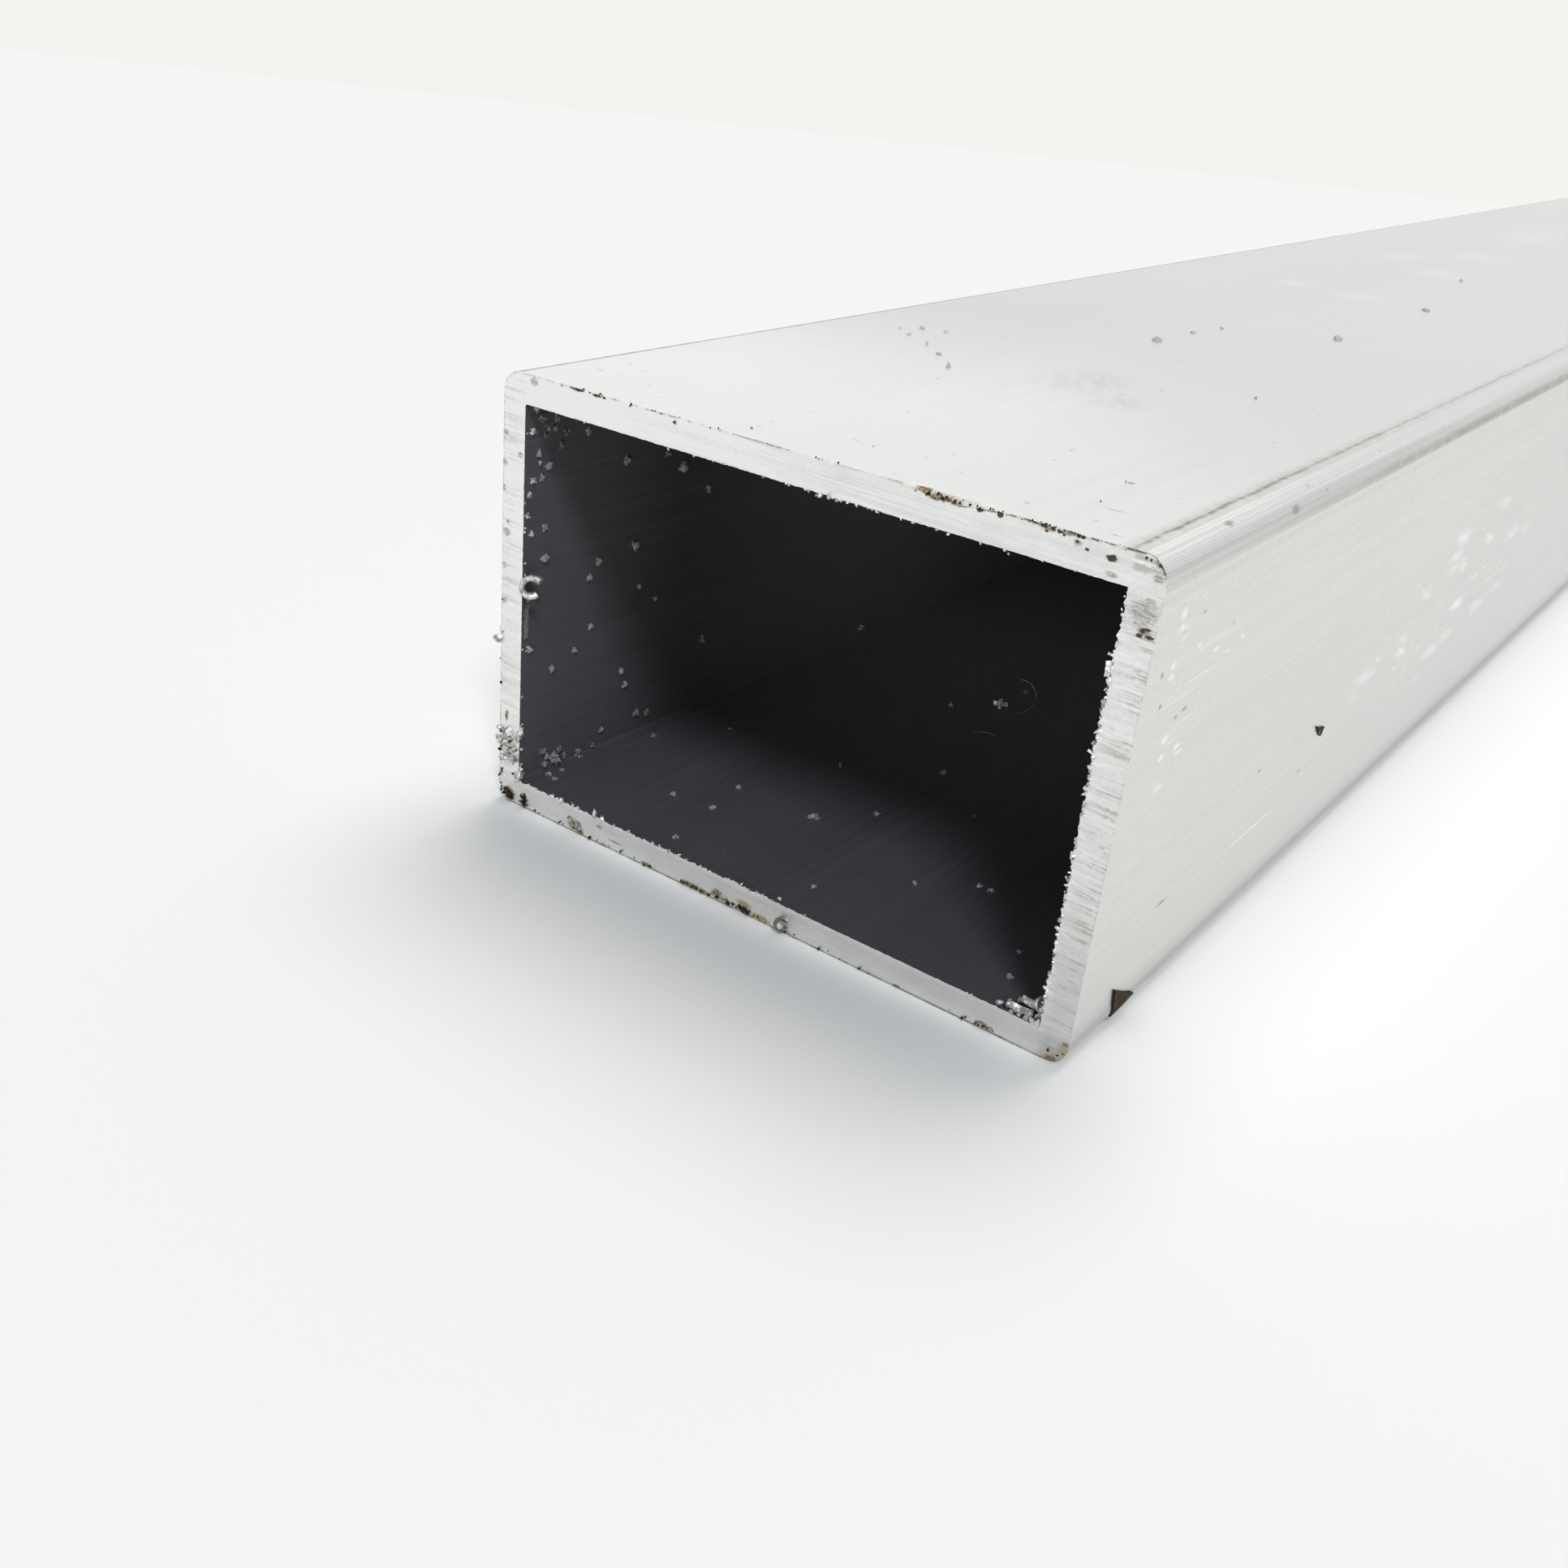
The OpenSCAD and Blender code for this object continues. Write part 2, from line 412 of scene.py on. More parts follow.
sawFinish = {
    "light": rgb(0.93, 0.935, 0.915),
    "mid": rgb(0.79, 0.797, 0.775),
    # torn also paints shade low on the right wall and along the bottom wall
    "torn": rgb(0.41, 0.405, 0.365),
    "gleam": rgb(0.97, 0.97, 0.955),
    "grime": rgb(0.05, 0.038, 0.022),
    "brown": rgb(0.15, 0.115, 0.055),
    "ochre": rgb(0.36, 0.28, 0.13),
    "tilt": 0.02,
    # x, from front, z, then reach in x, y, z, all in mm
    "darkSpots": [
        (32.9, 0, 49.55, 0.62, 1, 0.42), (36.85, 0, 44.35, 0.32, 1, 0.3),
        (36.6, 0, 43.85, 0.36, 1, 0.26),
        (37.5, 0, 43.9, 0.5, 1, 0.2), (37.2, 0, 44.5, 0.4, 1, 0.16), (30.05, 0, 50.6, 0.32, 1, 0.2),
        (27.2, 0, 50.58, 0.36, 1, 0.2), (25.4, 0, 50.7, 0.42, 1, 0.16), (20.1, 0, 50.45, 0.5, 1, 0.36),
        (26.3, 0, 50.62, 0.45, 1, 0.18), (27.85, 0, 50.5, 0.3, 1, 0.2), (26.6, 0, 50.22, 0.24, 1, 0.14),
        (28.3, 0, 50.3, 0.2, 1, 0.13), (29.6, 0, 50.1, 0.22, 1, 0.14), (30.6, 0, 49.7, 0.26, 1, 0.18),
        (22.1, 0, 50.5, 0.35, 1, 0.36), (37.3, 0, 50.1, 0.3, 1, 0.3), (28.9, 0, 50.74, 0.5, 1, 0.08),
        (-27.4, 0, 50.7, 0.8, 1, 0.28), (-24.9, 0, 50.6, 0.7, 1, 0.2),
        (-14.6, 0, 50.2, 0.3, 1, 0.25), (-0.8, 0, 0.5, 1.15, 1, 0.55), (-36.3, 0, 0.9, 0.9, 1, 0.9),
        (-33.9, 0, 1.3, 0.4, 1, 0.8), (-34.3, 0, 0.6, 0.6, 1, 0.3),
    ],
    "brownSpots": [
        (-25.8, 0, 1.0, 1.3, 1, 0.85), (-26.5, 0, 1.5, 0.6, 1, 0.4), (-24.9, 0, 0.4, 0.8, 1, 0.4),
        (-9.0, 0, 0.25, 1.1, 1, 0.35), (-7.9, 0, 0.35, 0.9, 1, 0.4), (-6.4, 0, 0.3, 0.8, 1, 0.35),
        (-4.6, 0, 1.0, 0.8, 1, 0.5), (-3.4, 0, 0.5, 0.7, 1, 0.4), (28.8, 0, 0.5, 0.9, 1, 0.42),
        (29.8, 0, 0.4, 0.6, 1, 0.35), (-14.7, 0, 0.3, 1.1, 1, 0.3), (36.6, 0, 0.35, 0.9, 1, 0.45),
        (18.9, 0, 0.15, 0.6, 1, 0.25), (4.8, 0, 0.3, 0.7, 1, 0.3), (37.7, 0, 2.6, 0.4, 1, 0.25),
        (-37.5, 0, 8.8, 0.5, 1, 0.6), (-36.5, 0, 6.5, 0.45, 1, 0.7), (-37.0, 0, 11.0, 0.3, 1, 0.8),
    ],
    "greySpots": [
        (33.1, 0, 48.2, 0.8, 1, 0.3), (36.6, 0, 45.9, 1.9, 1, 1.25), (37.3, 0, 49.0, 0.8, 1, 0.42),
        (36.5, 0, 44.85, 0.9, 1, 0.28), (37.2, 0, 44.6, 0.6, 1, 0.25), (37.0, 0, 47.0, 0.7, 1, 0.32),
        (-36.6, 0, 7.0, 1.6, 1, 3.0), (29.7, 0, 50.0, 0.5, 1, 0.4), (-33.7, 0, 50.2, 0.7, 1, 0.6),
        (-37.7, 0, 44.0, 0.6, 1, 0.45), (-37.8, 0, 40.7, 0.5, 1, 0.5), (-37.9, 0, 37.9, 0.4, 1, 0.5),
        (-37.4, 0, 33.0, 0.75, 1, 0.6), (-37.2, 0, 34.2, 0.45, 1, 0.35), (-37.8, 0, 29.1, 0.6, 1, 0.5),
        (-37.7, 0, 25.0, 0.6, 1, 0.55), (-35.5, 0, 42.0, 0.55, 1, 0.45),
    ],
    "cornerStain": [(36.9, 0, 0.2, 2.3, 1, 1.9), (37.8, 0, 1.6, 1.3, 1, 2.0)],
    "ochreSpots": [
        (-4.3, 0, 0.8, 1.6, 1, 0.75), (1.3, 0, 0.45, 1.9, 1, 0.6), (-1.0, 0, 1.2, 1.4, 1, 0.5),
        (-8.0, 0, 0.4, 2.4, 1, 0.5),
        (37.2, 0, 50.2, 0.6, 1, 0.4), (36.9, 0, 44.2, 0.8, 1, 0.5), (-21.2, 0, 0.15, 0.7, 1, 0.3),
        (-22.0, 0, 2.2, 0.6, 1, 0.3), (-19.5, 0, 1.2, 1.4, 1, 0.18), (26.8, 0, 50.45, 0.9, 1, 0.28),
        (28.6, 0, 50.5, 0.8, 1, 0.18),
    ],
}


def sawnFace():
    made, tree, shader, coords = newMaterial("sawnFace")
    x, y, z = splitXyz(coords)
    across = wire(tree, "ShaderNodeAttribute", output=2, attribute_name="acrossWall")
    stroke = z + x * sawFinish["tilt"]
    broad = noise(joinXyz(x * 70.0, y * 30.0, stroke * 1150.0), 1.0, 3.0, 0.65)
    hair = noise(joinXyz(x * 300.0, y * 30.0, stroke * 3300.0), 1.0, 2.0, 0.6)
    cloud = noise(coords, 240.0, 3.0, 0.6)
    crumble = noise(coords, 2600.0, 2.0, 0.6)
    tone = broad * 0.45 + hair * 0.25 + cloud * 0.25 + crumble * 0.2
    # painted light: the face paler towards the left. The next lines also darken the left wall below its
    # upper part and make the strip above the bore paler, with fine sweeps, most on the left
    tone = tone + smooth(x, 10 * mm, -38 * mm, -0.02, 0.14)
    tone = tone - smooth(x, -30 * mm, -36 * mm) * smooth(z, 42 * mm, 22 * mm) * 0.12
    sweep = noise(joinXyz(x * 45.0, 0.0, stroke * 5600.0), 1.0, 2.0, 0.6)
    overBore = smooth(z, 47.4 * mm, 47.8 * mm)
    tone = tone + overBore * (smooth(x, -20 * mm, 20 * mm, 0.09, 0.03) + (sweep - 0.5) * 0.6)
    colour = mixColour(smooth(tone, 0.42, 0.76), sawFinish["mid"], sawFinish["light"])
    # torn strokes, most of them on the outer side of the two upright walls
    upright = smooth(x, 34.6 * mm, 35.2 * mm) + smooth(x, -34.6 * mm, -35.2 * mm) * 0.5
    outside = smooth(across, 0.9, 0.3)
    long = noise(joinXyz(x * 130.0, y * 30.0, stroke * 2600.0 + x * 60.0), 1.0, 2.0, 0.65)
    tear = smooth(long + (broad - 0.5) * 0.5 + (crumble - 0.5) * 0.3, 0.48, 0.34)
    tear = tear * upright * (outside * 0.6 + 0.3)
    colour = mixColour(smooth(long, 0.56, 0.68) * upright * 0.7, colour, sawFinish["gleam"])
    grey = spotMask(coords, sawFinish["greySpots"], 1.0)
    hatch = noise(joinXyz(x * 1300.0, 0.0, stroke * 5200.0), 1.0, 2.0, 0.6)
    grey = grey * smooth(hatch + hair * 0.4, 0.80, 0.58, 0.4, 1.0)
    # painted shade: darker low on the right wall and along the bottom wall
    low = smooth(x, 34.4 * mm, 36.0 * mm) * smooth(z, 22 * mm, 5 * mm) * 0.24
    low = smooth(z, 3.6 * mm, 2.4 * mm) * 0.26 + low
    torn = calc("MAXIMUM", tear * 0.65, grey)
    colour = mixColour(calc("MAXIMUM", torn, low), colour, sawFinish["torn"])
    # oil and dirt: tan patches, brown ones, black spots
    ochre = spotMask(coords, sawFinish["ochreSpots"], 1.2, 0.3) * smooth(cloud, 0.28, 0.44)
    soft = spotMask(coords, sawFinish["cornerStain"], 0.7, 0.05) * smooth(crumble, 0.3, 0.6, 0.7, 1.0)
    ochre = calc("MAXIMUM", ochre * 0.9, soft * 0.85)
    colour = mixColour(ochre, colour, sawFinish["ochre"])
    foot = smooth(z, 0.34 * mm, 0.08 * mm) * smooth(noise(coords, 500.0, 3.0, 0.7), 0.34, 0.56, 0.35, 0.8)
    brown = spotMask(coords, sawFinish["brownSpots"], 1.5, 0.6) * smooth(crumble, 0.36, 0.56, 0.45, 1.0)
    brown = calc("MAXIMUM", brown, foot)
    colour = mixColour(brown, colour, sawFinish["brown"])
    dark = spotMask(coords, sawFinish["darkSpots"], 1.7, 0.6)
    # thin broken grime along the outer rim, most of it on the right half of the top
    heavy = smooth(x, 23 * mm, 26 * mm) * smooth(x, 31.5 * mm, 29.5 * mm)
    rim = smooth(across - heavy * 0.05, 0.09, 0.0) * smooth(noise(coords, 900.0, 3.0, 0.75), 0.44, 0.60)
    partly = smooth(x, -26 * mm, -20 * mm) * smooth(x, 6 * mm, -2 * mm) * 0.3
    rim = rim * (smooth(x, 8 * mm, 20 * mm, 0.3, 0.95) + partly) * smooth(z, 0.5 * mm, 2.0 * mm)
    rim = rim * (1.0 - smooth(x, 36.4 * mm, 37.2 * mm) * smooth(z, 49.6 * mm, 48.8 * mm) * 0.85)
    dark = calc("MAXIMUM", dark, rim)
    colour = mixColour(dark, colour, sawFinish["grime"])
    covered = calc("MAXIMUM", dark, calc("MAXIMUM", ochre, brown))
    plug(tree, shader.inputs["Base Color"], colour)
    plug(tree, shader.inputs["Metallic"], 1.0 - covered)
    plug(tree, shader.inputs["Roughness"], smooth(hair + cloud * 0.4, 0.45, 0.9, 0.44, 0.58))
    height = broad + hair * 0.45 + crumble * 0.3 - tear * 0.4
    plug(tree, shader.inputs["Normal"], bumped(tree, height, 0.05 * mm, 0.5))
    return made


# painted shade: the bore is coloured near black, though it is the same bright metal as the outside
boreFinish = {
    "dark": rgb(0.073, 0.073, 0.081),
    "light": rgb(0.096, 0.096, 0.107),
    "deep": rgb(0.5, 0.5, 0.51),  # painted light: paler deeper in, where little lamp light gets
    "dust": rgb(0.2, 0.2, 0.2),
    "linePitch": 0.45 * mm,
    "lineRun": 60 * mm,
}


def boreSkin():
    made, tree, shader, coords = newMaterial("boreSkin")
    x, y = splitXyz(coords)[:2]
    lines = {"Vector": coords, "Pitch": boreFinish["linePitch"], "Run": boreFinish["lineRun"]}
    fine, broad = useGroup(dieLines, lines)
    tone = fine * 0.6 + broad * 0.4
    colour = mixColour(smooth(tone, 0.3, 0.7), boreFinish["dark"], boreFinish["light"])
    within = tubeSize.y * 0.5 - calc("ABSOLUTE", y)
    # painted light: the side walls paler near the mouth
    onWall = smooth(calc("ABSOLUTE", x), 34.82 * mm, 34.9 * mm) * smooth(within, 34 * mm, 8 * mm) * 0.075
    colour = mixColour(calc("MAXIMUM", smooth(within, 22 * mm, 95 * mm), onWall), colour, boreFinish["deep"])
    dust = speckMask(coords, (0.004, 0.006, 0.004), 0.06, 0.4)
    colour = mixColour(dust * 0.4, colour, boreFinish["dust"])
    plug(tree, shader.inputs["Base Color"], colour)
    shader.inputs["Specular IOR Level"].default_value = 0.3
    plug(tree, shader.inputs["Roughness"], smooth(tone, 0.3, 0.7, 0.62, 0.54))
    plug(tree, shader.inputs["Normal"], bumped(tree, fine, 0.03 * mm, 0.3))
    return made


swarfFinish = {
    "bright": rgb(0.88, 0.88, 0.87),
    "grey": rgb(0.36, 0.36, 0.35),
    # painted shade for chips inside the bore
    "boreShade": rgb(0.28, 0.28, 0.288),
    "dim": rgb(0.1, 0.098, 0.1),  # painted shade on chips in the left corners of the bore, also used on the left wall's strips
    "oily": rgb(0.13, 0.115, 0.06),
    "oilyRing": [(4.1, -0.4, 0.85, 1.5, 1.6, 1.5)],  # x, from front, z, reach in mm
    # painted highlight: the bead's centre is left bright
    "beadHighlight": [(4.5, -0.95, 1.3, 0.4, 0.5, 0.4)],
    "shaded": [(-34.7, 0.9, 23.5, 1.2, 1.6, 3.1)],  # the strips on the left wall
    "heaps": [(32.6, 1.5, 3.9, 3.4, 3.0, 2.0), (-36.6, 0, 6.5, 2.6, 2.0, 4.8)],  # greyer than the rest
}


def brightSwarf():
    made, tree, shader, coords = newMaterial("brightSwarf")
    x, y, z = splitXyz(coords)
    fromFront = y - frontY
    mottle = noise(coords, 1600.0, 2.0, 0.6)
    colour = mixColour(smooth(mottle, 0.34, 0.58), swarfFinish["grey"], swarfFinish["bright"])
    # painted shade: chips inside the bore greyer, mottled, darkest in the left corners
    boreShade = smooth(fromFront, 0.4 * mm, 2.4 * mm) * smooth(fromFront, 58 * mm, 48 * mm)
    dust = noise(coords, 2900.0, 2.0, 0.6)
    inCorner = calc("MAXIMUM", smooth(z, 37 * mm, 43 * mm), smooth(z, 9 * mm, 6 * mm))
    inCorner = inCorner * smooth(x, -29 * mm, -32 * mm)
    dimmed = inCorner * smooth(noise(coords, 420.0, 1.0, 0.5), 0.66, 0.52)
    shadeColour = mixColour(dimmed, swarfFinish["boreShade"], swarfFinish["dim"])
    colour = mixColour(boreShade * smooth(dust, 0.62, 0.40, 0.6, 0.95), colour, shadeColour)
    heaped = spotMask(coords, swarfFinish["heaps"], 1.2)
    colour = mixColour(heaped * smooth(mottle, 0.62, 0.45), colour, swarfFinish["grey"])
    shaded = spotMask(coords, swarfFinish["shaded"], 0.2, 0.8)
    colour = mixColour(shaded * 0.75, colour, swarfFinish["dim"])
    # the oily bead: a dark ring with its centre left bright as a painted highlight
    oily = spotMask(coords, swarfFinish["oilyRing"], 0.3, 0.8)
    oily = oily - spotMask(coords, swarfFinish["beadHighlight"], 0.3, 0.8)
    colour = mixColour(oily * 0.9, colour, swarfFinish["oily"])
    plug(tree, shader.inputs["Base Color"], colour)
    dulled = calc("MAXIMUM", calc("MAXIMUM", boreShade, shaded), oily)
    plug(tree, shader.inputs["Metallic"], 0.5 - dulled * 0.4)
    plug(tree, shader.inputs["Roughness"], smooth(mottle, 0.3, 0.7, 0.5, 0.3) + boreShade * 0.3)
    plug(tree, shader.inputs["Normal"], bumped(tree, noise(coords, 5200.0, 2.0, 0.6), 0.05 * mm, 0.5))
    return made


grimeFinish = {
    "black": rgb(0.018, 0.013, 0.009),
    "brown": rgb(0.05, 0.029, 0.015),
    "ochre": rgb(0.38, 0.28, 0.11),
}
dirtFinish = {
    "black": rgb(0.57, 0.565, 0.545),
    "brown": rgb(0.65, 0.64, 0.61),
    "ochre": rgb(0.70, 0.68, 0.64),
}


def oilyGrime(name, finish):
    made, tree, shader, coords = newMaterial(name)
    clot = noise(coords, 1300.0, 3.0, 0.65)
    colour = mixColour(smooth(clot, 0.44, 0.60), finish["black"], finish["brown"])
    z = splitXyz(coords)[2]
    crust = smooth(clot, 0.56, 0.70) * smooth(z, 7 * mm, 15 * mm, 0.2, 1.0)
    colour = mixColour(crust, colour, finish["ochre"])
    plug(tree, shader.inputs["Base Color"], colour)
    shader.inputs["Specular IOR Level"].default_value = 0.12
    plug(tree, shader.inputs["Roughness"], smooth(clot, 0.35, 0.65, 0.5, 0.85))
    plug(tree, shader.inputs["Normal"], bumped(tree, noise(coords, 4200.0, 3.0, 0.7), 0.08 * mm, 0.7))
    return made


millMaterial = millSkin()
sawnMaterial = sawnFace()
boreMaterial = boreSkin()
swarfMaterial = brightSwarf()
grimeMaterial = oilyGrime("oilyGrime", grimeFinish)
dirtMaterial = oilyGrime("dryDirt", dirtFinish)
print("finishes made")


# geometry trees


def newTree(name, sizes):
    tree = bpy.data.node_groups.new(name, "GeometryNodeTree")
    tree.interface.new_socket("Geometry", in_out="INPUT", socket_type="NodeSocketGeometry")
    for label, value in sizes.items():
        kind = "NodeSocketInt" if isinstance(value, int) else "NodeSocketFloat"
        tree.interface.new_socket(label, in_out="INPUT", socket_type=kind)
    tree.interface.new_socket("Geometry", in_out="OUTPUT", socket_type="NodeSocketGeometry")
    start = tree.nodes.new("NodeGroupInput")
    end = tree.nodes.new("NodeGroupOutput")
    put = {label: Wire(tree, start.outputs[label]) for label in sizes}
    put["Geometry"] = Wire(tree, start.outputs["Geometry"])
    return tree, put, end


def grown(name, tree, sizes, start=None):  # runs a tree once and keeps its plain mesh
    start = start or bpy.data.meshes.new(name + ".start")
    piece = bpy.data.objects.new(name, start)
    bpy.context.collection.objects.link(piece)
    modifier = piece.modifiers.new("shape", "NODES")
    modifier.node_group = tree
    for item in tree.interface.items_tree:
        if item.in_out == "INPUT" and item.name in sizes:
            modifier[item.identifier] = sizes[item.name]
    depsgraph = bpy.context.evaluated_depsgraph_get()
    mesh = bpy.data.meshes.new_from_object(
        piece.evaluated_get(depsgraph), preserve_all_data_layers=True, depsgraph=depsgraph
    )
    piece.modifiers.remove(modifier)
    if mesh.materials[0] is None:
        mesh.materials.pop(index=0)
    piece.data = mesh
    mesh.name = name
    bpy.data.meshes.remove(start)
    print(name, len(mesh.polygons), "faces")
    return piece


def attribute(tree, name, kind="FLOAT"):
    return wire(tree, "GeometryNodeInputNamedAttribute", {"Name": name}, data_type=kind)


def stored(tree, shape, name, value, kind="FLOAT", domain="POINT"):
    inputs = {"Geometry": shape, "Name": name, "Value": value}
    return wire(tree, "GeometryNodeStoreNamedAttribute", inputs, data_type=kind, domain=domain)


def withMaterial(tree, shape, material, selection=None):
    inputs = {"Geometry": shape, "Material": material}
    if selection is not None:
        inputs["Selection"] = selection
    return wire(tree, "GeometryNodeSetMaterial", inputs)


def roundedPoint(x, z, width, height, radius):  # a rectangle's point, pulled in where its corner is round
    core = joinXyz(clampTo(x, width * 0.5 - radius), 0.0, clampTo(z, height * 0.5 - radius))
    out = vecCalc("NORMALIZE", vecCalc("SUBTRACT", joinXyz(x, 0.0, z), core))
    return vecCalc("ADD", core, scaled(out, radius))


tube = {
    "Width": tubeSize.x,
    "Height": tubeSize.z,
    "Length": tubeSize.y,
    "Wall": wallThick * mm,
    "Outer radius": 2.38 * mm,
    "Bore radius": 0.25 * mm,
    "Columns": 1640,
    "Dense length": 14.0 * mm,
    "Saw depth": 0.07 * mm,
    "Saw pitch": 0.62 * mm,
    "Burr": 0.42 * mm,
    "Notch place": 15.6 * mm,
    "Notch depth": 0.64 * mm,
}


millPart, cutPart, borePart = range(3)  # which finish a face of the tube takes


def tubeTree():
    tree, size, end = newTree("sawnTubeShape", tube)
    place = wire(tree, "GeometryNodeInputPosition")
    u, v = splitXyz(place)[:2]
    u = u + 0.5
    v = v + 0.5
    width, height, length, wall = size["Width"], size["Height"], size["Length"], size["Wall"]
    half = width + height
    walk = u * (half * 2.0) + height * 0.5
    sharpX = clampTo(calc("PINGPONG", walk, half) - half * 0.5, width * 0.5)
    sharpZ = clampTo(calc("PINGPONG", walk + half * 1.5, half) - half * 0.5, height * 0.5)
    boreW = width - wall * 2.0
    boreH = height - wall * 2.0
    outer = roundedPoint(sharpX, sharpZ, width, height, size["Outer radius"])
    inner = roundedPoint(sharpX * boreW / width, sharpZ * boreH / height, boreW, boreH, size["Bore radius"])
    toBore = vecCalc("SUBTRACT", inner, outer)
    sides = joinXyz(sharpX * 2.0 / width, 0.0, sharpZ * 2.0 / height)
    frontEnd = length * -0.5
    backEnd = length * 0.5
    frontIn = frontEnd + size["Dense length"]
    backIn = backEnd - size["Dense length"]
    thick = v * v
    thin = 1.0 - (1.0 - v) * (1.0 - v)
    # rows, wall from and to, along from and to, how the rows crowd, finish
    strips = [
        (5, 0.0, 0.0, backEnd, backIn, thick, millPart),
        (3, 0.0, 0.0, backIn, frontIn, v, millPart),
        (12, 0.0, 0.0, frontIn, frontEnd, thin, millPart),
        (18, 0.0, 1.0, frontEnd, frontEnd, v, cutPart),
        (10, 1.0, 1.0, frontEnd, frontIn, thick, borePart),
        (3, 1.0, 1.0, frontIn, backIn, v, borePart),
        (5, 1.0, 1.0, backIn, backEnd, thin, borePart),
        (9, 1.0, 0.0, backEnd, backEnd, v, cutPart),
    ]
    sheets = []
    for rows, wallFrom, wallTo, yFrom, yTo, crowd, finish in strips:
        inputs = {"Size X": 1.0, "Size Y": 1.0, "Vertices X": size["Columns"] + 1.0, "Vertices Y": rows}
        sheet = wire(tree, "GeometryNodeMeshGrid", inputs)
        across = v * (wallTo - wallFrom) + wallFrom
        along = yFrom + (yTo - yFrom) * crowd
        sheet = stored(tree, sheet, "acrossWall", across)
        sheet = stored(tree, sheet, "wallSide", sides, "FLOAT_VECTOR")
        sheet = stored(tree, sheet, "toBore", vecCalc("NORMALIZE", toBore), "FLOAT_VECTOR")
        sheet = stored(tree, sheet, "finish", finish, "INT", "FACE")
        point = vecCalc("ADD", outer, scaled(toBore, across))
        point = vecCalc("ADD", point, joinXyz(0.0, along, height * 0.5))
        sheets.append(wire(tree, "GeometryNodeSetPosition", {"Geometry": sheet, "Position": point}))
    shape = wire(tree, "GeometryNodeJoinGeometry", {"Geometry": sheets})
    shape = wire(tree, "GeometryNodeMergeByDistance", {"Geometry": shape, "Distance": 0.002 * mm})
    # saw strokes run across the width, so the relief changes with height
    x, y, z = splitXyz(place)
    fromFront = y - frontEnd
    fromBack = backEnd - y
    onFront = calc("LESS_THAN", fromFront, 0.005 * mm)
    onBack = calc("LESS_THAN", fromBack, 0.005 * mm)
    across = attribute(tree, "acrossWall")
    inward = attribute(tree, "toBore", "FLOAT_VECTOR")
    sideX, sideZ = splitXyz(attribute(tree, "wallSide", "FLOAT_VECTOR"))[::2]
    onRight = calc("GREATER_THAN", sideX, 0.999)
    onLeft = calc("LESS_THAN", sideX, -0.999)
    onTop = calc("GREATER_THAN", sideZ, 0.999)
    onFloor = calc("LESS_THAN", sideZ, -0.999)
    stroke = (z + x * sawFinish["tilt"]) / size["Saw pitch"]
    lines = noise(joinXyz(x * 45.0, y * 3.0, stroke), 1.0, 2.5, 0.65) - 0.5
    relief = lines * size["Saw depth"] * (onFront + onBack) * (onRight * 0.9 + 0.7)
    # torn lip along the bore, worst on the right wall
    teeth = noise(place, 2300.0, 1.0, 0.6) * 0.6 + noise(place, 700.0, 2.0, 0.6) * 0.4
    torn = smooth(teeth, 0.40, 0.66)
    raised = smooth(noise(place, 900.0, 2.0, 0.7), 0.45, 0.75)
    leftHalf = smooth(x, 8.0 * mm, 2.0 * mm)
    amount = onRight * 0.8 + onFloor * (leftHalf * 0.5 + 0.15) + onTop * 0.15 + onLeft * 0.12
    lipFront = smooth(across, 0.74, 1.0) * smooth(fromFront, 1.1 * mm, 0.0)
    lipBack = smooth(across, 0.74, 1.0) * smooth(fromBack, 1.1 * mm, 0.0) * 0.55
    lip = (lipFront + lipBack) * amount * size["Burr"]
    push = scaled(inward, torn * lip)
    lift = raised * lip * -0.55 * (smooth(fromFront, 1.1 * mm, 0.0) - smooth(fromBack, 1.1 * mm, 0.0))
    # the outer rim is nicked a little all round
    rim = smooth(across, 0.12, 0.0) * (smooth(fromFront, 0.5 * mm, 0.0) + smooth(fromBack, 0.5 * mm, 0.0))
    nick = smooth(noise(place, 620.0, 3.0, 0.75), 0.5, 0.8) * rim * 0.12 * mm
    push = vecCalc("ADD", push, scaled(inward, nick))
    # knocked-down notch in the top edge with a small lip beside it
    notch = size["Notch place"]
    dip = smooth(x, notch - 3.4 * mm, notch) * smooth(x, notch + 8.5 * mm, notch + 0.3 * mm)
    ridge = smooth(x, notch - 6.0 * mm, notch - 3.8 * mm) * smooth(x, notch - 1.8 * mm, notch - 3.4 * mm)
    ragged = noise(place, 750.0, 3.0, 0.7) * 0.7 + 0.65
    fall = onTop * (1.0 - across) * smooth(fromFront, 0.5 * mm, 0.0)
    drop = fall * (ridge * 0.04 * mm - dip * ragged * size["Notch depth"])
    shift = vecCalc("ADD", push, joinXyz(0.0, relief + lift, drop))
    shape = wire(tree, "GeometryNodeSetPosition", {"Geometry": shape, "Offset": shift})
    shape = wire(tree, "GeometryNodeSetShadeSmooth", {0: shape, "Shade Smooth": True}, domain="FACE")
    bend = wire(tree, "GeometryNodeInputMeshEdgeAngle")
    sharp = calc("GREATER_THAN", bend, math.radians(38))
    inputs = {0: shape, "Selection": sharp, "Shade Smooth": False}
    shape = wire(tree, "GeometryNodeSetShadeSmooth", inputs, domain="EDGE")
    shape = wire(tree, "GeometryNodeRealizeInstances", {"Geometry": shape})
    finish = attribute(tree, "finish", "INT")
    shape = withMaterial(tree, shape, millMaterial)
    shape = withMaterial(tree, shape, sawnMaterial, calc("COMPARE", finish, cutPart, 0.1))
    shape = withMaterial(tree, shape, boreMaterial, calc("COMPARE", finish, borePart, 0.1))
    for name in ("wallSide", "toBore", "finish"):
        shape = wire(tree, "GeometryNodeRemoveAttribute", {"Geometry": shape, "Name": name})
    plug(tree, end.inputs["Geometry"], shape)
    return tree


def carried(piece):
    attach(piece, "root")


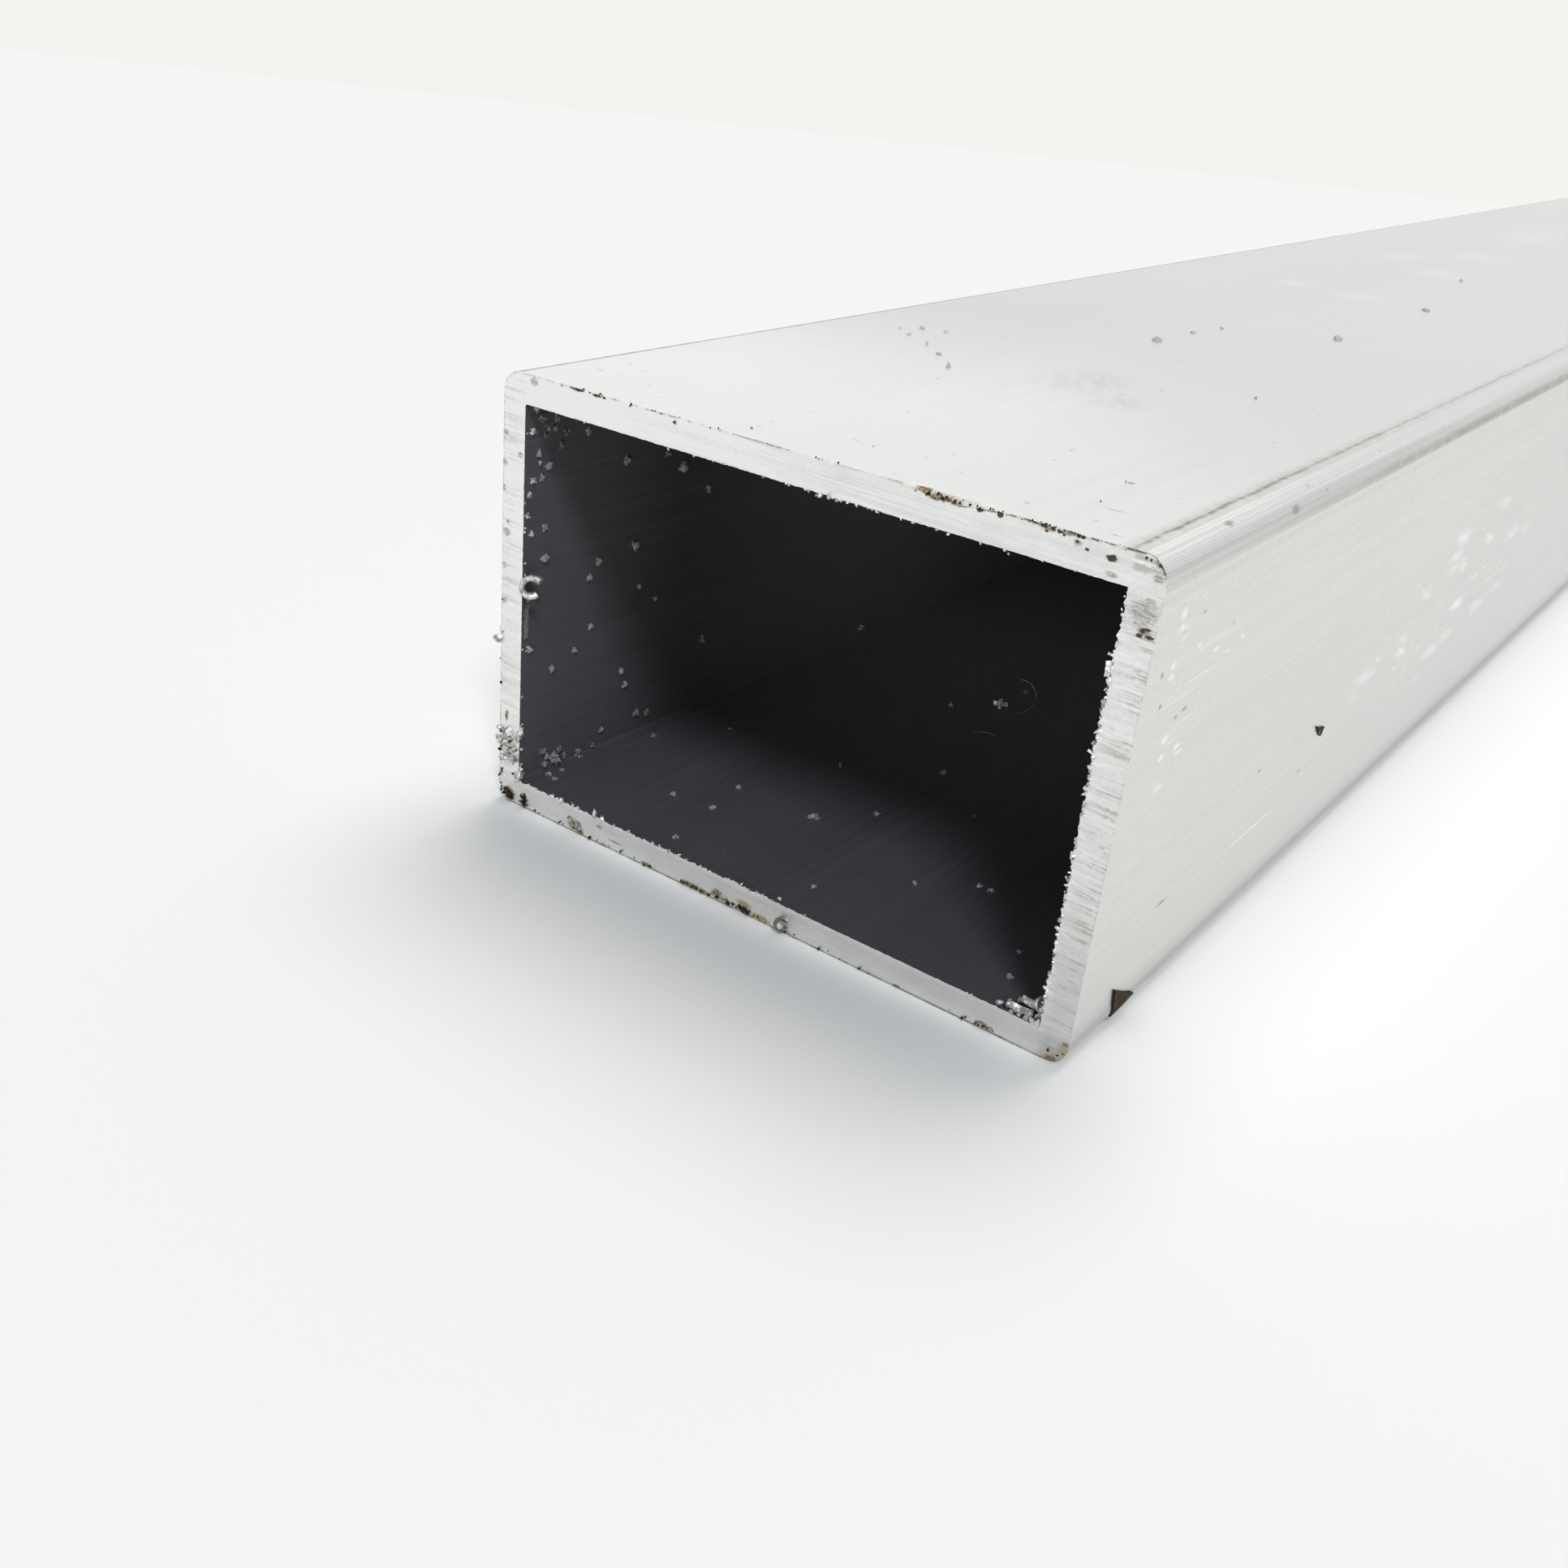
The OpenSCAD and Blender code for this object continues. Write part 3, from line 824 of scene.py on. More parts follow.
sawnTube = grown("sawnTube", tubeTree(), tube)
carried(sawnTube)
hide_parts("tube")


# chips, torn lip and grime left by the saw


def lump(tree, stretch, shake):  # a broken crumb about one unit across
    ball = wire(tree, "GeometryNodeMeshUVSphere", {"Radius": 1.0, "Segments": 6, "Rings": 5})
    place = wire(tree, "GeometryNodeInputPosition")
    swell = noise(vecCalc("ADD", place, shake), 1.5, 2.0, 0.7) * 1.9 + 0.05
    shaped = vecCalc("MULTIPLY", scaled(place, swell), stretch)
    return wire(tree, "GeometryNodeSetPosition", {"Geometry": ball, "Position": shaped})


def crumbSet(tree):
    shapes = [
        lump(tree, (1.0, 0.9, 0.8), (3.1, 0.4, 1.7)),
        lump(tree, (1.2, 0.8, 0.6), (7.9, 2.2, 0.3)),
        lump(tree, (0.8, 1.15, 0.7), (1.2, 8.8, 5.1)),
        lump(tree, (1.4, 0.6, 0.55), (5.5, 5.9, 9.4)),
    ]
    return wire(tree, "GeometryNodeGeometryToInstance", {"Geometry": shapes})


def curlShape(tree):  # a rolled ribbon of swarf about one unit across
    inputs = {"Resolution": 14, "Rotations": 0.78, "Start Radius": 0.66, "End Radius": 1.0, "Height": 0.5}
    path = wire(tree, "GeometryNodeCurveSpiral", inputs)
    band = wire(tree, "GeometryNodeCurvePrimitiveQuadrilateral", {"Width": 0.48, "Height": 0.5})
    inputs = {"Curve": path, "Profile Curve": band, "Fill Caps": True}
    ribbon = wire(tree, "GeometryNodeCurveToMesh", inputs)
    place = wire(tree, "GeometryNodeInputPosition")
    bend = wire(tree, "ShaderNodeTexNoise", {"Vector": place, "Scale": 1.6, "Detail": 2.0}, 1)
    bend = scaled(vecCalc("SUBTRACT", bend, (0.5, 0.5, 0.5)), 0.3)
    return wire(tree, "GeometryNodeSetPosition", {"Geometry": ribbon, "Offset": bend})


def wireShape(tree):  # a thin bent thread of swarf
    inputs = {"Resolution": 16, "Rotations": 0.5, "Start Radius": 0.8, "End Radius": 1.0, "Height": 0.3}
    path = wire(tree, "GeometryNodeCurveSpiral", inputs)
    band = wire(tree, "GeometryNodeCurvePrimitiveQuadrilateral", {"Width": 0.034, "Height": 0.034})
    inputs = {"Curve": path, "Profile Curve": band, "Fill Caps": True}
    return wire(tree, "GeometryNodeCurveToMesh", inputs)


def ribbonShape(tree):  # a flat strip of swarf two units long
    inputs = {"Size": (2.0, 0.62, 0.2), "Vertices X": 5, "Vertices Y": 3, "Vertices Z": 2}
    strip = wire(tree, "GeometryNodeMeshCube", inputs)
    place = wire(tree, "GeometryNodeInputPosition")
    bend = wire(tree, "ShaderNodeTexNoise", {"Vector": place, "Scale": 2.2, "Detail": 2.0}, 1)
    bend = scaled(vecCalc("SUBTRACT", bend, (0.5, 0.5, 0.5)), 0.5)
    return wire(tree, "GeometryNodeSetPosition", {"Geometry": strip, "Offset": bend})


def randomVector(tree, low, high, seed):
    inputs = {0: low, 1: high, "Seed": seed}
    return wire(tree, "FunctionNodeRandomValue", inputs, 0, data_type="FLOAT_VECTOR")


def randomNumber(tree, low, high, seed):
    inputs = {2: low, 3: high, "Seed": seed}
    return wire(tree, "FunctionNodeRandomValue", inputs, 1, data_type="FLOAT")


def asRotation(tree, angles):
    return wire(tree, "FunctionNodeEulerToRotation", {0: angles})


fullTurn = (math.tau, math.tau, math.tau)
crumb, curl, strip, thread = range(4)  # the kinds of chip


# chips on given points, and more crumbs strewn on the bore's floor
def chipTree(name, sizes, material):
    tree, put, end = newTree(name, sizes)
    points = put["Geometry"]
    chipSize = attribute(tree, "chipSize")
    chipKind = attribute(tree, "chipKind")
    turn = asRotation(tree, attribute(tree, "turn", "FLOAT_VECTOR"))
    laid = []
    for kind, shape in enumerate((crumbSet(tree), curlShape(tree), ribbonShape(tree), wireShape(tree))):
        inputs = {
            "Points": points, "Selection": calc("COMPARE", chipKind, kind, 0.1), "Instance": shape,
            "Pick Instance": kind == crumb, "Rotation": turn, "Scale": chipSize,
        }
        laid.append(wire(tree, "GeometryNodeInstanceOnPoints", inputs))
    # strewn along the bore, thickest near the two saw cuts
    inputs = {"Size X": put["Bore width"], "Size Y": put["Length"], "Vertices X": 2, "Vertices Y": 60}
    bed = wire(tree, "GeometryNodeMeshGrid", inputs)
    y = splitXyz(wire(tree, "GeometryNodeInputPosition"))[1]
    nearEnd = smooth(calc("ABSOLUTE", y), put["Length"] * 0.5 - 90 * mm, put["Length"] * 0.5, 0.03, 1.0)
    inputs = {"Mesh": bed, "Density": put["Strewn per m2"] * nearEnd, "Seed": put["Seed"]}
    strewn = wire(tree, "GeometryNodeDistributePointsOnFaces", inputs)
    grain = randomNumber(tree, put["Crumb"] * 0.5, put["Crumb"], put["Seed"] + 3.0)
    lift = joinXyz(0.0, 0.0, put["Floor"] + put["Crumb"] * 0.25)
    strewn = wire(tree, "GeometryNodeSetPosition", {"Geometry": strewn, "Offset": lift})
    inputs = {
        "Points": strewn, "Instance": crumbSet(tree), "Pick Instance": True, "Scale": grain,
        "Rotation": asRotation(tree, randomVector(tree, (0, 0, 0), fullTurn, put["Seed"] + 5.0)),
    }
    laid.append(wire(tree, "GeometryNodeInstanceOnPoints", inputs))
    shape = wire(tree, "GeometryNodeJoinGeometry", {"Geometry": laid})
    shape = wire(tree, "GeometryNodeRealizeInstances", {"Geometry": shape})
    plug(tree, end.inputs["Geometry"], withMaterial(tree, shape, material))
    return tree


# crumbs strung along an edge, as many as the path's share says
def edgeTree(name, sizes, material):
    tree, put, end = newTree(name, sizes)
    path = wire(tree, "GeometryNodeMeshToCurve", {"Mesh": put["Geometry"]})
    path = wire(tree, "GeometryNodeResampleCurve", {"Curve": path, "Length": put["Spacing"]}, mode="LENGTH")
    dots = wire(tree, "GeometryNodeCurveToPoints", {"Curve": path}, mode="EVALUATED")
    missing = calc("GREATER_THAN", randomNumber(tree, 0.0, 1.0, put["Seed"]), attribute(tree, "share"))
    dots = wire(tree, "GeometryNodeDeleteGeometry", {"Geometry": dots, "Selection": missing})
    shake = scaled(randomVector(tree, (-1, -1, -1), (1, 1, 1), put["Seed"] + 1.0), put["Shake"])
    dots = wire(tree, "GeometryNodeSetPosition", {"Geometry": dots, "Offset": shake})
    grain = attribute(tree, "chipSize") * randomNumber(tree, 0.45, 1.25, put["Seed"] + 2.0)
    inputs = {
        "Points": dots, "Instance": crumbSet(tree), "Pick Instance": True, "Scale": grain,
        "Rotation": asRotation(tree, randomVector(tree, (0, 0, 0), fullTurn, put["Seed"] + 3.0)),
    }
    shape = wire(tree, "GeometryNodeInstanceOnPoints", inputs)
    shape = wire(tree, "GeometryNodeRealizeInstances", {"Geometry": shape})
    plug(tree, end.inputs["Geometry"], withMaterial(tree, shape, material))
    return tree


def seedMesh(name, places, edges, numbers):  # bare points or paths that carry numbers for a tree
    mesh = bpy.data.meshes.new(name)
    mesh.from_pydata(places, edges, [])
    for label, values in numbers.items():
        vector = isinstance(values[0], tuple)
        layer = mesh.attributes.new(label, "FLOAT_VECTOR" if vector else "FLOAT", "POINT")
        for item, value in zip(layer.data, values):
            if vector:
                item.vector = value
            else:
                item.value = value
    return mesh


def pathMesh(name, paths):  # each path a list of (x, from front, z, share, size) in mm
    places, edges, shares, sizes = [], [], [], []
    for path in paths:
        for k, (x, y, z, share, size) in enumerate(path):
            if k:
                edges.append((len(places) - 1, len(places)))
            places.append((x * mm, frontY + y * mm, z * mm))
            shares.append(share)
            sizes.append(size * mm)
    return seedMesh(name, places, edges, {"share": shares, "chipSize": sizes})


chips = {
    "Bore width": tubeSize.x - 2 * tube["Wall"] - 2 * mm,
    "Length": tubeSize.y - 3 * mm,
    "Floor": tube["Wall"],
    "Strewn per m2": 2600.0,
    "Crumb": 0.42 * mm,
    "Seed": 11,
}
# left wall of the bore: from front, height, size in mm
leftWallChips = [
    (2.5, 45.8, 0.55), (3.5, 44.7, 0.5), (1.1, 44.5, 0.45), (4.0, 46.6, 0.4), (9.7, 43.3, 0.55),
    (5.5, 42.4, 0.5),
    (2.1, 42.0, 0.45), (3.6, 40.4, 0.55), (6.2, 43.8, 0.5), (16.4, 39.0, 0.65), (23.7, 38.6, 0.5),
    (26.6, 36.4, 0.75),
    (31.8, 32.8, 0.6), (1.3, 39.1, 0.45), (0.8, 37.6, 0.4), (0.5, 35.3, 0.4), (3.2, 33.5, 0.5),
    (1.2, 33.2, 0.4),
    (3.3, 30.0, 0.6), (18.6, 28.3, 0.7), (12.3, 27.6, 0.6), (10.8, 26.0, 0.5), (19.8, 22.8, 0.4),
    (22.9, 20.5, 0.4),
    (11.3, 19.7, 0.42), (8.7, 17.4, 0.45), (4.9, 16.1, 0.5), (17.1, 12.4, 0.5), (17.9, 10.4, 0.5),
    (20.4, 5.8, 0.6),
    (22.4, 5.2, 0.55), (1.2, 19.6, 0.5), (32.8, 12.5, 0.5), (6.0, 3.9, 0.8), (4.2, 3.9, 0.55),
    (14.0, 5.4, 0.45),
    (71.2, 4.2, 0.7), (1.6, 46.9, 0.5), (4.6, 45.6, 0.55), (3.0, 43.9, 0.4), (7.8, 45.0, 0.45),
    (2.2, 41.0, 0.4),
    (3.8, 5.9, 0.55), (4.6, 4.9, 0.5), (5.7, 4.6, 0.6), (6.6, 5.2, 0.45), (9.9, 3.7, 0.55),
    (12.6, 3.7, 0.4),
    (7.4, 4.0, 0.5), (4.4, 44.4, 0.45), (2.6, 39.2, 0.45),
]
# floor of the bore: across, from front, size in mm
boreFloorChips = [
    (-34.4, 9.7, 0.5), (-32.4, 3.5, 0.5), (-32.3, 21.1, 0.55), (-20.2, 10.8, 0.5), (-14.8, 11.5, 0.55),
    (-13.3, 3.0, 0.5),
    (-5.2, 18.3, 0.8), (3.0, 0.8, 0.3), (-0.5, 24.5, 0.5), (16.9, 19.0, 0.5), (18.4, 19.0, 0.55),
    (26.8, 10.4, 0.4),
    (28.4, 5.5, 0.5), (-11.2, 58.9, 0.5), (-6.2, 71.2, 0.5), (-27.0, 30.0, 0.35), (8.0, 33.0, 0.3),
    (-33.6, 3.7, 0.55), (-33.3, 5.6, 0.5),
]
# heap in the right corner, near the cut
heapChips = [
    (30.1, 0.5, 3.5, 0.42), (31.0, 0.8, 3.6, 0.5), (31.8, 0.5, 3.5, 0.45), (32.5, 0.6, 3.7, 0.5),
    (33.3, 0.7, 3.6, 0.5),
    (34.2, 0.9, 3.7, 0.5), (32.4, 2.0, 3.8, 0.6), (33.6, 2.4, 3.8, 0.55), (34.4, 2.6, 4.1, 0.5),
    (33.0, 3.8, 3.6, 0.5),
    (34.3, 0.6, 4.5, 0.4), (34.2, 1.8, 4.9, 0.4), (31.4, 2.2, 3.5, 0.4), (30.6, 1.6, 3.4, 0.3),
    (34.4, 4.4, 4.0, 0.5),
    (33.2, 0.2, 3.4, 0.42), (33.9, 0.15, 3.4, 0.44), (34.5, 0.2, 3.5, 0.44), (32.4, 0.15, 3.35, 0.38),
    (31.6, 0.15, 3.35, 0.34),
    (34.6, 0.1, 3.2, 0.32),
]
# crumbs stuck on the cut face of the left wall: across, height, size in mm
faceCrumbs = [
    (-36.5, 9.0, 0.5), (-34.8, 9.2, 0.62), (-38.1, 9.1, 0.36), (-38.1, 7.6, 0.5), (-37.0, 7.5, 0.4),
    (-35.8, 7.0, 0.55),
    (-35.5, 5.9, 0.45), (-37.2, 5.5, 0.46), (-34.8, 4.0, 0.55), (-35.0, 3.3, 0.36), (-38.3, 20.2, 0.5),
    (-37.9, 21.4, 0.3), (-28.0, 3.3, 0.3), (-22.8, 3.5, 0.36), (-21.6, 3.4, 0.3),
]
# the oily bead on the lower edge, with a bright crumb as its painted highlight, and two strips deep in the
# bore: x, from front, z, size, kind, turn
loneChips = [
    (4.3, -0.2, 1.05, 0.76, curl, (0.988, 0.613, 0.232)), (4.5, -0.85, 1.3, 0.36),
    (-6.2, 63.7, 3.75, 1.0, strip, (1.104, 0.0, 0.594)),
    (-6.2, 63.6, 3.75, 0.75, strip, (0.0, 1.104, -0.977)),
]
# rolled chips: x, from front, z, size in mm, then how each is turned
curledChips = [
    (-33.8, 0.35, 27.3, 1.28, (0.988, 0.613, 0.232)), (33.8, 1.3, 4.6, 0.7, (0.4, 1.0, 0.3)),
]
# thin threads, told in the same way
threadChips = [(-4.6, 65.5, 5.2, 2.6, (0.0, -1.104, 2.165)), (-2.6, 52.0, 3.6, 2.4, (0.05, 0.05, 2.6))]
# flat strips, told in the same way
stripChips = [
    (33.2, 1.2, 4.5, 1.15, (1.35, 0.12, 0.1)), (32.2, 0.6, 3.75, 1.0, (0.9, 0.1, 0.2)),
    (34.5, -0.12, 40.2, 0.68, (0.0, 1.104, -0.977)),
    (34.6, -0.1, 41.5, 0.36, (1.104, 0.3, 0.594)), (34.6, 0.0, 36.2, 0.3, (0.2, 1.2, 0.9)),
    (34.55, -0.1, 32.3, 0.4, (1.104, 0.5, 0.594)),
    (-34.8, 1.0, 25.7, 0.8, (0.0, 1.85, 0.1)), (-34.8, 0.7, 24.4, 0.75, (0.0, 1.62, -0.05)),
    (-34.8, 0.65, 23.1, 0.75, (0.0, 1.55, 0.05)), (-34.8, 0.6, 21.8, 0.75, (0.0, 1.57, -0.1)),
    (34.6, -0.05, 22.0, 0.36, (0.2, 1.104, -0.977)), (34.6, 0.0, 19.5, 0.32, (0.9, 0.9, 0.2)),
]


def chipSeeds():
    places, sizes, kinds, turns = [], [], [], []

    def lay(x, y, z, size, kind=crumb, turn=None):
        k = len(places)
        places.append((x * mm, frontY + y * mm, z * mm))
        sizes.append(size * mm)
        kinds.append(float(kind))
        turns.append(turn or (k * 1.7 % math.tau, k * 2.9 % math.tau, k * 4.3 % math.tau))

    def clump(x, y, z, size, flat):  # a few crumbs together, lying on a wall or on the floor
        for k in range(5):
            angle = len(places) * 2.4
            swing = size * (0.0, 0.4, 0.5, 0.6, 0.72)[k]
            step = (math.cos(angle) * swing, math.sin(angle) * swing)
            part = size * (0.62, 0.48, 0.4, 0.34, 0.26)[k]
            if flat:
                lay(x + step[0], y + step[1], z + part * 0.35, part)
            else:
                lay(x + part * 0.35, y + step[0], z + step[1], part)

    highest = 47.0  # just under the bore's ceiling
    wallX = wallThick - sideFace
    for y, z, size in leftWallChips:
        clump(wallX, y, min(z, highest), size * 1.15, False)
    for x, y, size in boreFloorChips:
        clump(x, y, wallThick, size, True)
    for x, y, z, size in heapChips:
        lay(x, y, z, size * 0.9)
    for x, z, size in faceCrumbs:
        lay(x, -0.15 * size, z, size * 1.25)
    for single in loneChips:
        lay(*single)
    for kind, told in ((curl, curledChips), (strip, stripChips), (thread, threadChips)):
        for x, y, z, size, turn in told:
            lay(x, y, z, size, kind, turn)
    return seedMesh("chipSeeds", places, [], {"chipSize": sizes, "chipKind": kinds, "turn": turns})


lip = {"Spacing": 0.34 * mm, "Shake": 0.14 * mm, "Seed": 4}
# along the bore's edge: x, from front, z, share kept, size in mm
lipPaths = [
    [(34.8, 0, 47.2, 0.2, 0.16), (34.8, 0, 43.0, 0.7, 0.2), (34.7, 0, 39.0, 0.95, 0.26),
     (34.8, 0, 30.0, 0.8, 0.22),
     (34.8, 0, 20.0, 0.85, 0.22), (34.8, 0, 10.0, 0.9, 0.24), (34.7, 0.1, 4.5, 1.0, 0.3)],
    [(-34.7, 0, 3.3, 0.35, 0.3), (-31.0, 0, 3.3, 0.15, 0.24), (-28.5, 0, 3.35, 0.55, 0.3),
     (-25.5, 0, 3.3, 0.12, 0.2),
     (-14.0, 0, 3.3, 0.12, 0.2), (-13.0, 0, 3.3, 0.4, 0.2), (-6.0, 0, 3.3, 0.15, 0.18),
     (2.0, 0, 3.25, 0.25, 0.16), (8.0, 0, 3.2, 0.1, 0.14), (30.0, 0, 3.2, 0.1, 0.12)],
    [(-34.0, 0, 47.6, 0.05, 0.12), (1.5, 0, 47.55, 0.1, 0.16), (3.0, 0, 47.4, 0.95, 0.26),
     (6.5, 0, 47.45, 0.8, 0.22),
     (8.0, 0, 47.55, 0.25, 0.15), (22.5, 0, 47.55, 0.25, 0.15), (23.6, 0, 47.45, 0.9, 0.2),
     (24.6, 0, 47.55, 0.1, 0.13),
     (34.0, 0, 47.55, 0.15, 0.12)],
    [(-34.8, 0.1, 46.5, 0.03, 0.12), (-34.8, 0.2, 34.0, 0.1, 0.16), (-34.7, 0.3, 26.0, 0.16, 0.18),
     (-34.8, 0.3, 18.0, 0.1, 0.16),
     (-34.8, 0.2, 11.0, 0.1, 0.18), (-34.8, 0.2, 4.0, 0.4, 0.22)],
    [(34.8, tubeLong, 47.0, 0.3, 0.16), (34.8, tubeLong, 3.6, 0.4, 0.18)],
    [(-34.8, tubeLong, 47.0, 0.35, 0.16), (-34.8, tubeLong, 3.6, 0.3, 0.18)],
    [(-34.0, tubeLong, 3.3, 0.6, 0.2), (34.0, tubeLong, 3.3, 0.45, 0.18)],
]
grime = {"Spacing": 0.26 * mm, "Shake": 0.16 * mm, "Seed": 9}
# along outer edges and in the notch: x, from front, z, share kept, size in mm
grimePaths = [
    [(13.2, 0.1, 50.6, 0.2, 0.1), (14.2, 0.15, 50.35, 0.9, 0.14), (15.6, 0.25, 50.2, 1.0, 0.18),
     (17.4, 0.25, 50.3, 0.95, 0.17),
     (19.4, 0.1, 50.45, 0.6, 0.13), (20.2, 0.05, 50.5, 0.95, 0.22), (21.0, 0.05, 50.6, 0.3, 0.12),
     (22.1, 0.05, 50.6, 0.9, 0.22),
     (23.0, 0.05, 50.7, 0.35, 0.1), (25.0, 0.0, 50.75, 0.7, 0.11), (26.5, 0.0, 50.68, 0.85, 0.15),
     (27.8, 0.0, 50.64, 0.8, 0.14),
     (28.9, 0.0, 50.76, 0.4, 0.08), (30.0, 0.0, 50.68, 0.85, 0.13), (30.6, 0.0, 50.75, 0.3, 0.08),
     (35.0, 0.0, 50.7, 0.3, 0.09),
     (37.2, 0.0, 50.0, 0.8, 0.16)],
    [(25.15, 18.3, 50.82, 1, 0.13), (25.2, 18.3, 50.82, 1, 0.13)],
    [(26.3, 10.4, 50.82, 1, 0.09), (26.35, 10.4, 50.82, 1, 0.09)],
    [(-7.7, 3.1, 50.82, 1, 0.12), (-7.5, 3.1, 50.82, 1, 0.12)],
    [(13.8, 0.4, 50.6, 0.5, 0.1), (15.4, 0.5, 50.45, 0.9, 0.15), (17.6, 0.45, 50.5, 0.8, 0.14),
     (19.2, 0.35, 50.6, 0.4, 0.1)],
    [(-33.0, 0, 50.7, 0.02, 0.1), (-27.6, 0, 50.75, 0.4, 0.14), (-24.6, 0, 50.75, 0.3, 0.12),
     (-14.0, 0, 50.75, 0.12, 0.1),
     (-5.0, 0, 50.75, 0.15, 0.1), (11.0, 0, 50.8, 0.1, 0.08)],
    [(-36.8, -0.05, 1.5, 1.0, 0.3), (-36.3, -0.1, 0.9, 1.0, 0.42), (-35.8, -0.05, 0.6, 1.0, 0.34)],
    [(-34.2, -0.05, 1.6, 0.9, 0.18), (-33.6, -0.1, 1.2, 1.0, 0.26), (-33.9, -0.05, 0.5, 1.0, 0.26)],
    [(-33.4, -0.05, 0.5, 0.3, 0.16), (-30.0, 0, 0.3, 0.2, 0.12), (-25.6, 0, 0.5, 0.4, 0.2),
     (-15.0, 0, 0.3, 0.25, 0.12), (-7.0, 0, 0.4, 0.45, 0.16),
     (-0.8, -0.05, 0.55, 0.9, 0.28), (1.8, 0, 0.4, 0.3, 0.14), (20.0, 0, 0.3, 0.12, 0.1),
     (29.0, 0, 0.4, 0.4, 0.14),
     (31.5, 0, 0.3, 0.15, 0.1)],
    [(-38.0, 0.1, 46.0, 0.04, 0.12), (-38.0, 0.1, 28.0, 0.06, 0.15), (-38.0, 0.1, 22.8, 0.4, 0.16),
     (-38.05, 0.1, 20.6, 0.5, 0.2),
     (-38.0, 0.1, 19.0, 0.05, 0.15), (-38.0, 0.1, 10.5, 0.1, 0.2), (-37.9, 0.0, 6.0, 0.3, 0.22),
     (-37.7, 0.1, 2.4, 0.35, 0.2)],
    [(-36.8, -0.05, 10.0, 0.2, 0.18), (-36.2, -0.05, 7.0, 0.3, 0.2), (-35.6, -0.05, 3.4, 0.2, 0.18)],
    [(35.2, -0.1, 1.4, 0.25, 0.16), (36.8, -0.05, 1.1, 0.5, 0.18), (37.5, 0.1, 1.5, 0.3, 0.14)],
    [(-38.05, 0.0, 3.4, 0.6, 0.12), (-37.8, 0.0, 1.7, 0.9, 0.16), (-37.2, -0.05, 0.8, 1.0, 0.22)],
]

dirt = {"Spacing": 0.3 * mm, "Shake": 0.14 * mm, "Seed": 21}
# specks on the top: x, from front, size in mm
dirtSpots = [
    (-4.5, 88.8, 0.62), (10.4, 118.3, 0.66), (9.7, 162.9, 0.8), (-26.2, 63.4, 0.42),
    (-23.4, 64.6, 0.46),
    (-16.1, 51.2, 0.4), (-11.7, 46.2, 0.42), (-3.9, 99.9, 0.44), (-3.0, 108.0, 0.34), (2.7, 209.1, 0.6),
    (18.4, 67.0, 0.32), (-24.8, 58.0, 0.3), (-27.9, 60.5, 0.3), (3.4, 7.9, 0.14), (-20.3, 55.0, 0.24),
]
dirtZ = 50.82  # just on the top face
dirtPaths = [[(x - 0.02, y, dirtZ, 1, size), (x + 0.02, y, dirtZ, 1, size)] for x, y, size in dirtSpots]


def addPiece(name, tree, sizes, mesh):
    carried(grown(name, tree, sizes, mesh))


addPiece("sawChips", chipTree("sawChipShape", chips, swarfMaterial), chips, chipSeeds())
for name, label, sizes, material, paths in (
    ("tornLip", "tornLipShape", lip, swarfMaterial, lipPaths),
    ("edgeGrime", "edgeGrimeShape", grime, grimeMaterial, grimePaths),
    ("topSpecks", "topSpeckShape", dirt, dirtMaterial, dirtPaths),
):
    addPiece(name, edgeTree(label, sizes, material), sizes, pathMesh(name + ".paths", paths))

# two brown flakes on the right face: (from front, height) of the corners in mm, thickness
flakes = {
    "lowFlake": ([(8.3, 5.0), (14.2, 1.9), (9.4, 1.1)], 0.35),
    "sideFlake": ([(55.3, 18.6), (58.8, 17.5), (57.4, 16.7)], 0.3),
}


def rightFaceX(z):  # the right face's outside, in mm, with the round corner at its foot
    r = tube["Outer radius"] / mm
    if z >= r:
        return sideFace
    return sideFace - r + math.sqrt(max(0.0, r * r - (r - z) ** 2))


def addFlake(name, corners, thick):
    rows = 5
    points, index = [], {}
    for layer in (0, 1):
        for i in range(rows + 1):
            for j in range(rows + 1 - i):
                a, b = i / rows, j / rows
                y = corners[0][0] * (1 - a - b) + corners[1][0] * a + corners[2][0] * b
                z = corners[0][1] * (1 - a - b) + corners[1][1] * a + corners[2][1] * b
                wave = math.sin(i * 2.3 + j * 1.7) * 0.12 + math.cos(i * 3.1 - j * 2.2) * 0.1
                lift = 0.03 if layer == 0 else thick * (0.75 + wave)
                index[(layer, i, j)] = len(points)
                x = rightFaceX(z) + lift
                points.append((x * mm, frontY + (y + wave * 0.6) * mm, (z + wave * 0.4) * mm))
    faces = []
    for i in range(rows):
        for j in range(rows - i):
            one = [(i, j), (i + 1, j), (i, j + 1)]
            two = [(i + 1, j), (i + 1, j + 1), (i, j + 1)] if i + j + 2 <= rows else None
            for tri in filter(None, (one, two)):
                faces.append([index[(0, *t)] for t in tri])
                faces.append([index[(1, *t)] for t in reversed(tri)])
    rim = [(k, 0) for k in range(rows)]
    rim += [(rows - k, k) for k in range(rows)]
    rim += [(0, rows - k) for k in range(rows)]
    for a, b in zip(rim, rim[1:] + rim[:1]):
        faces.append([index[(0, *b)], index[(0, *a)], index[(1, *a)], index[(1, *b)]])
    mesh = bpy.data.meshes.new(name)
    mesh.from_pydata(points, [], faces)
    mesh.materials.append(grimeMaterial)
    piece = bpy.data.objects.new(name, mesh)
    bpy.context.collection.objects.link(piece)
    carried(piece)


for flakeName, (flakeCorners, flakeThick) in flakes.items():
    addFlake(flakeName, flakeCorners, flakeThick)
print("chips, lip and grime laid")


# camera, floor and light

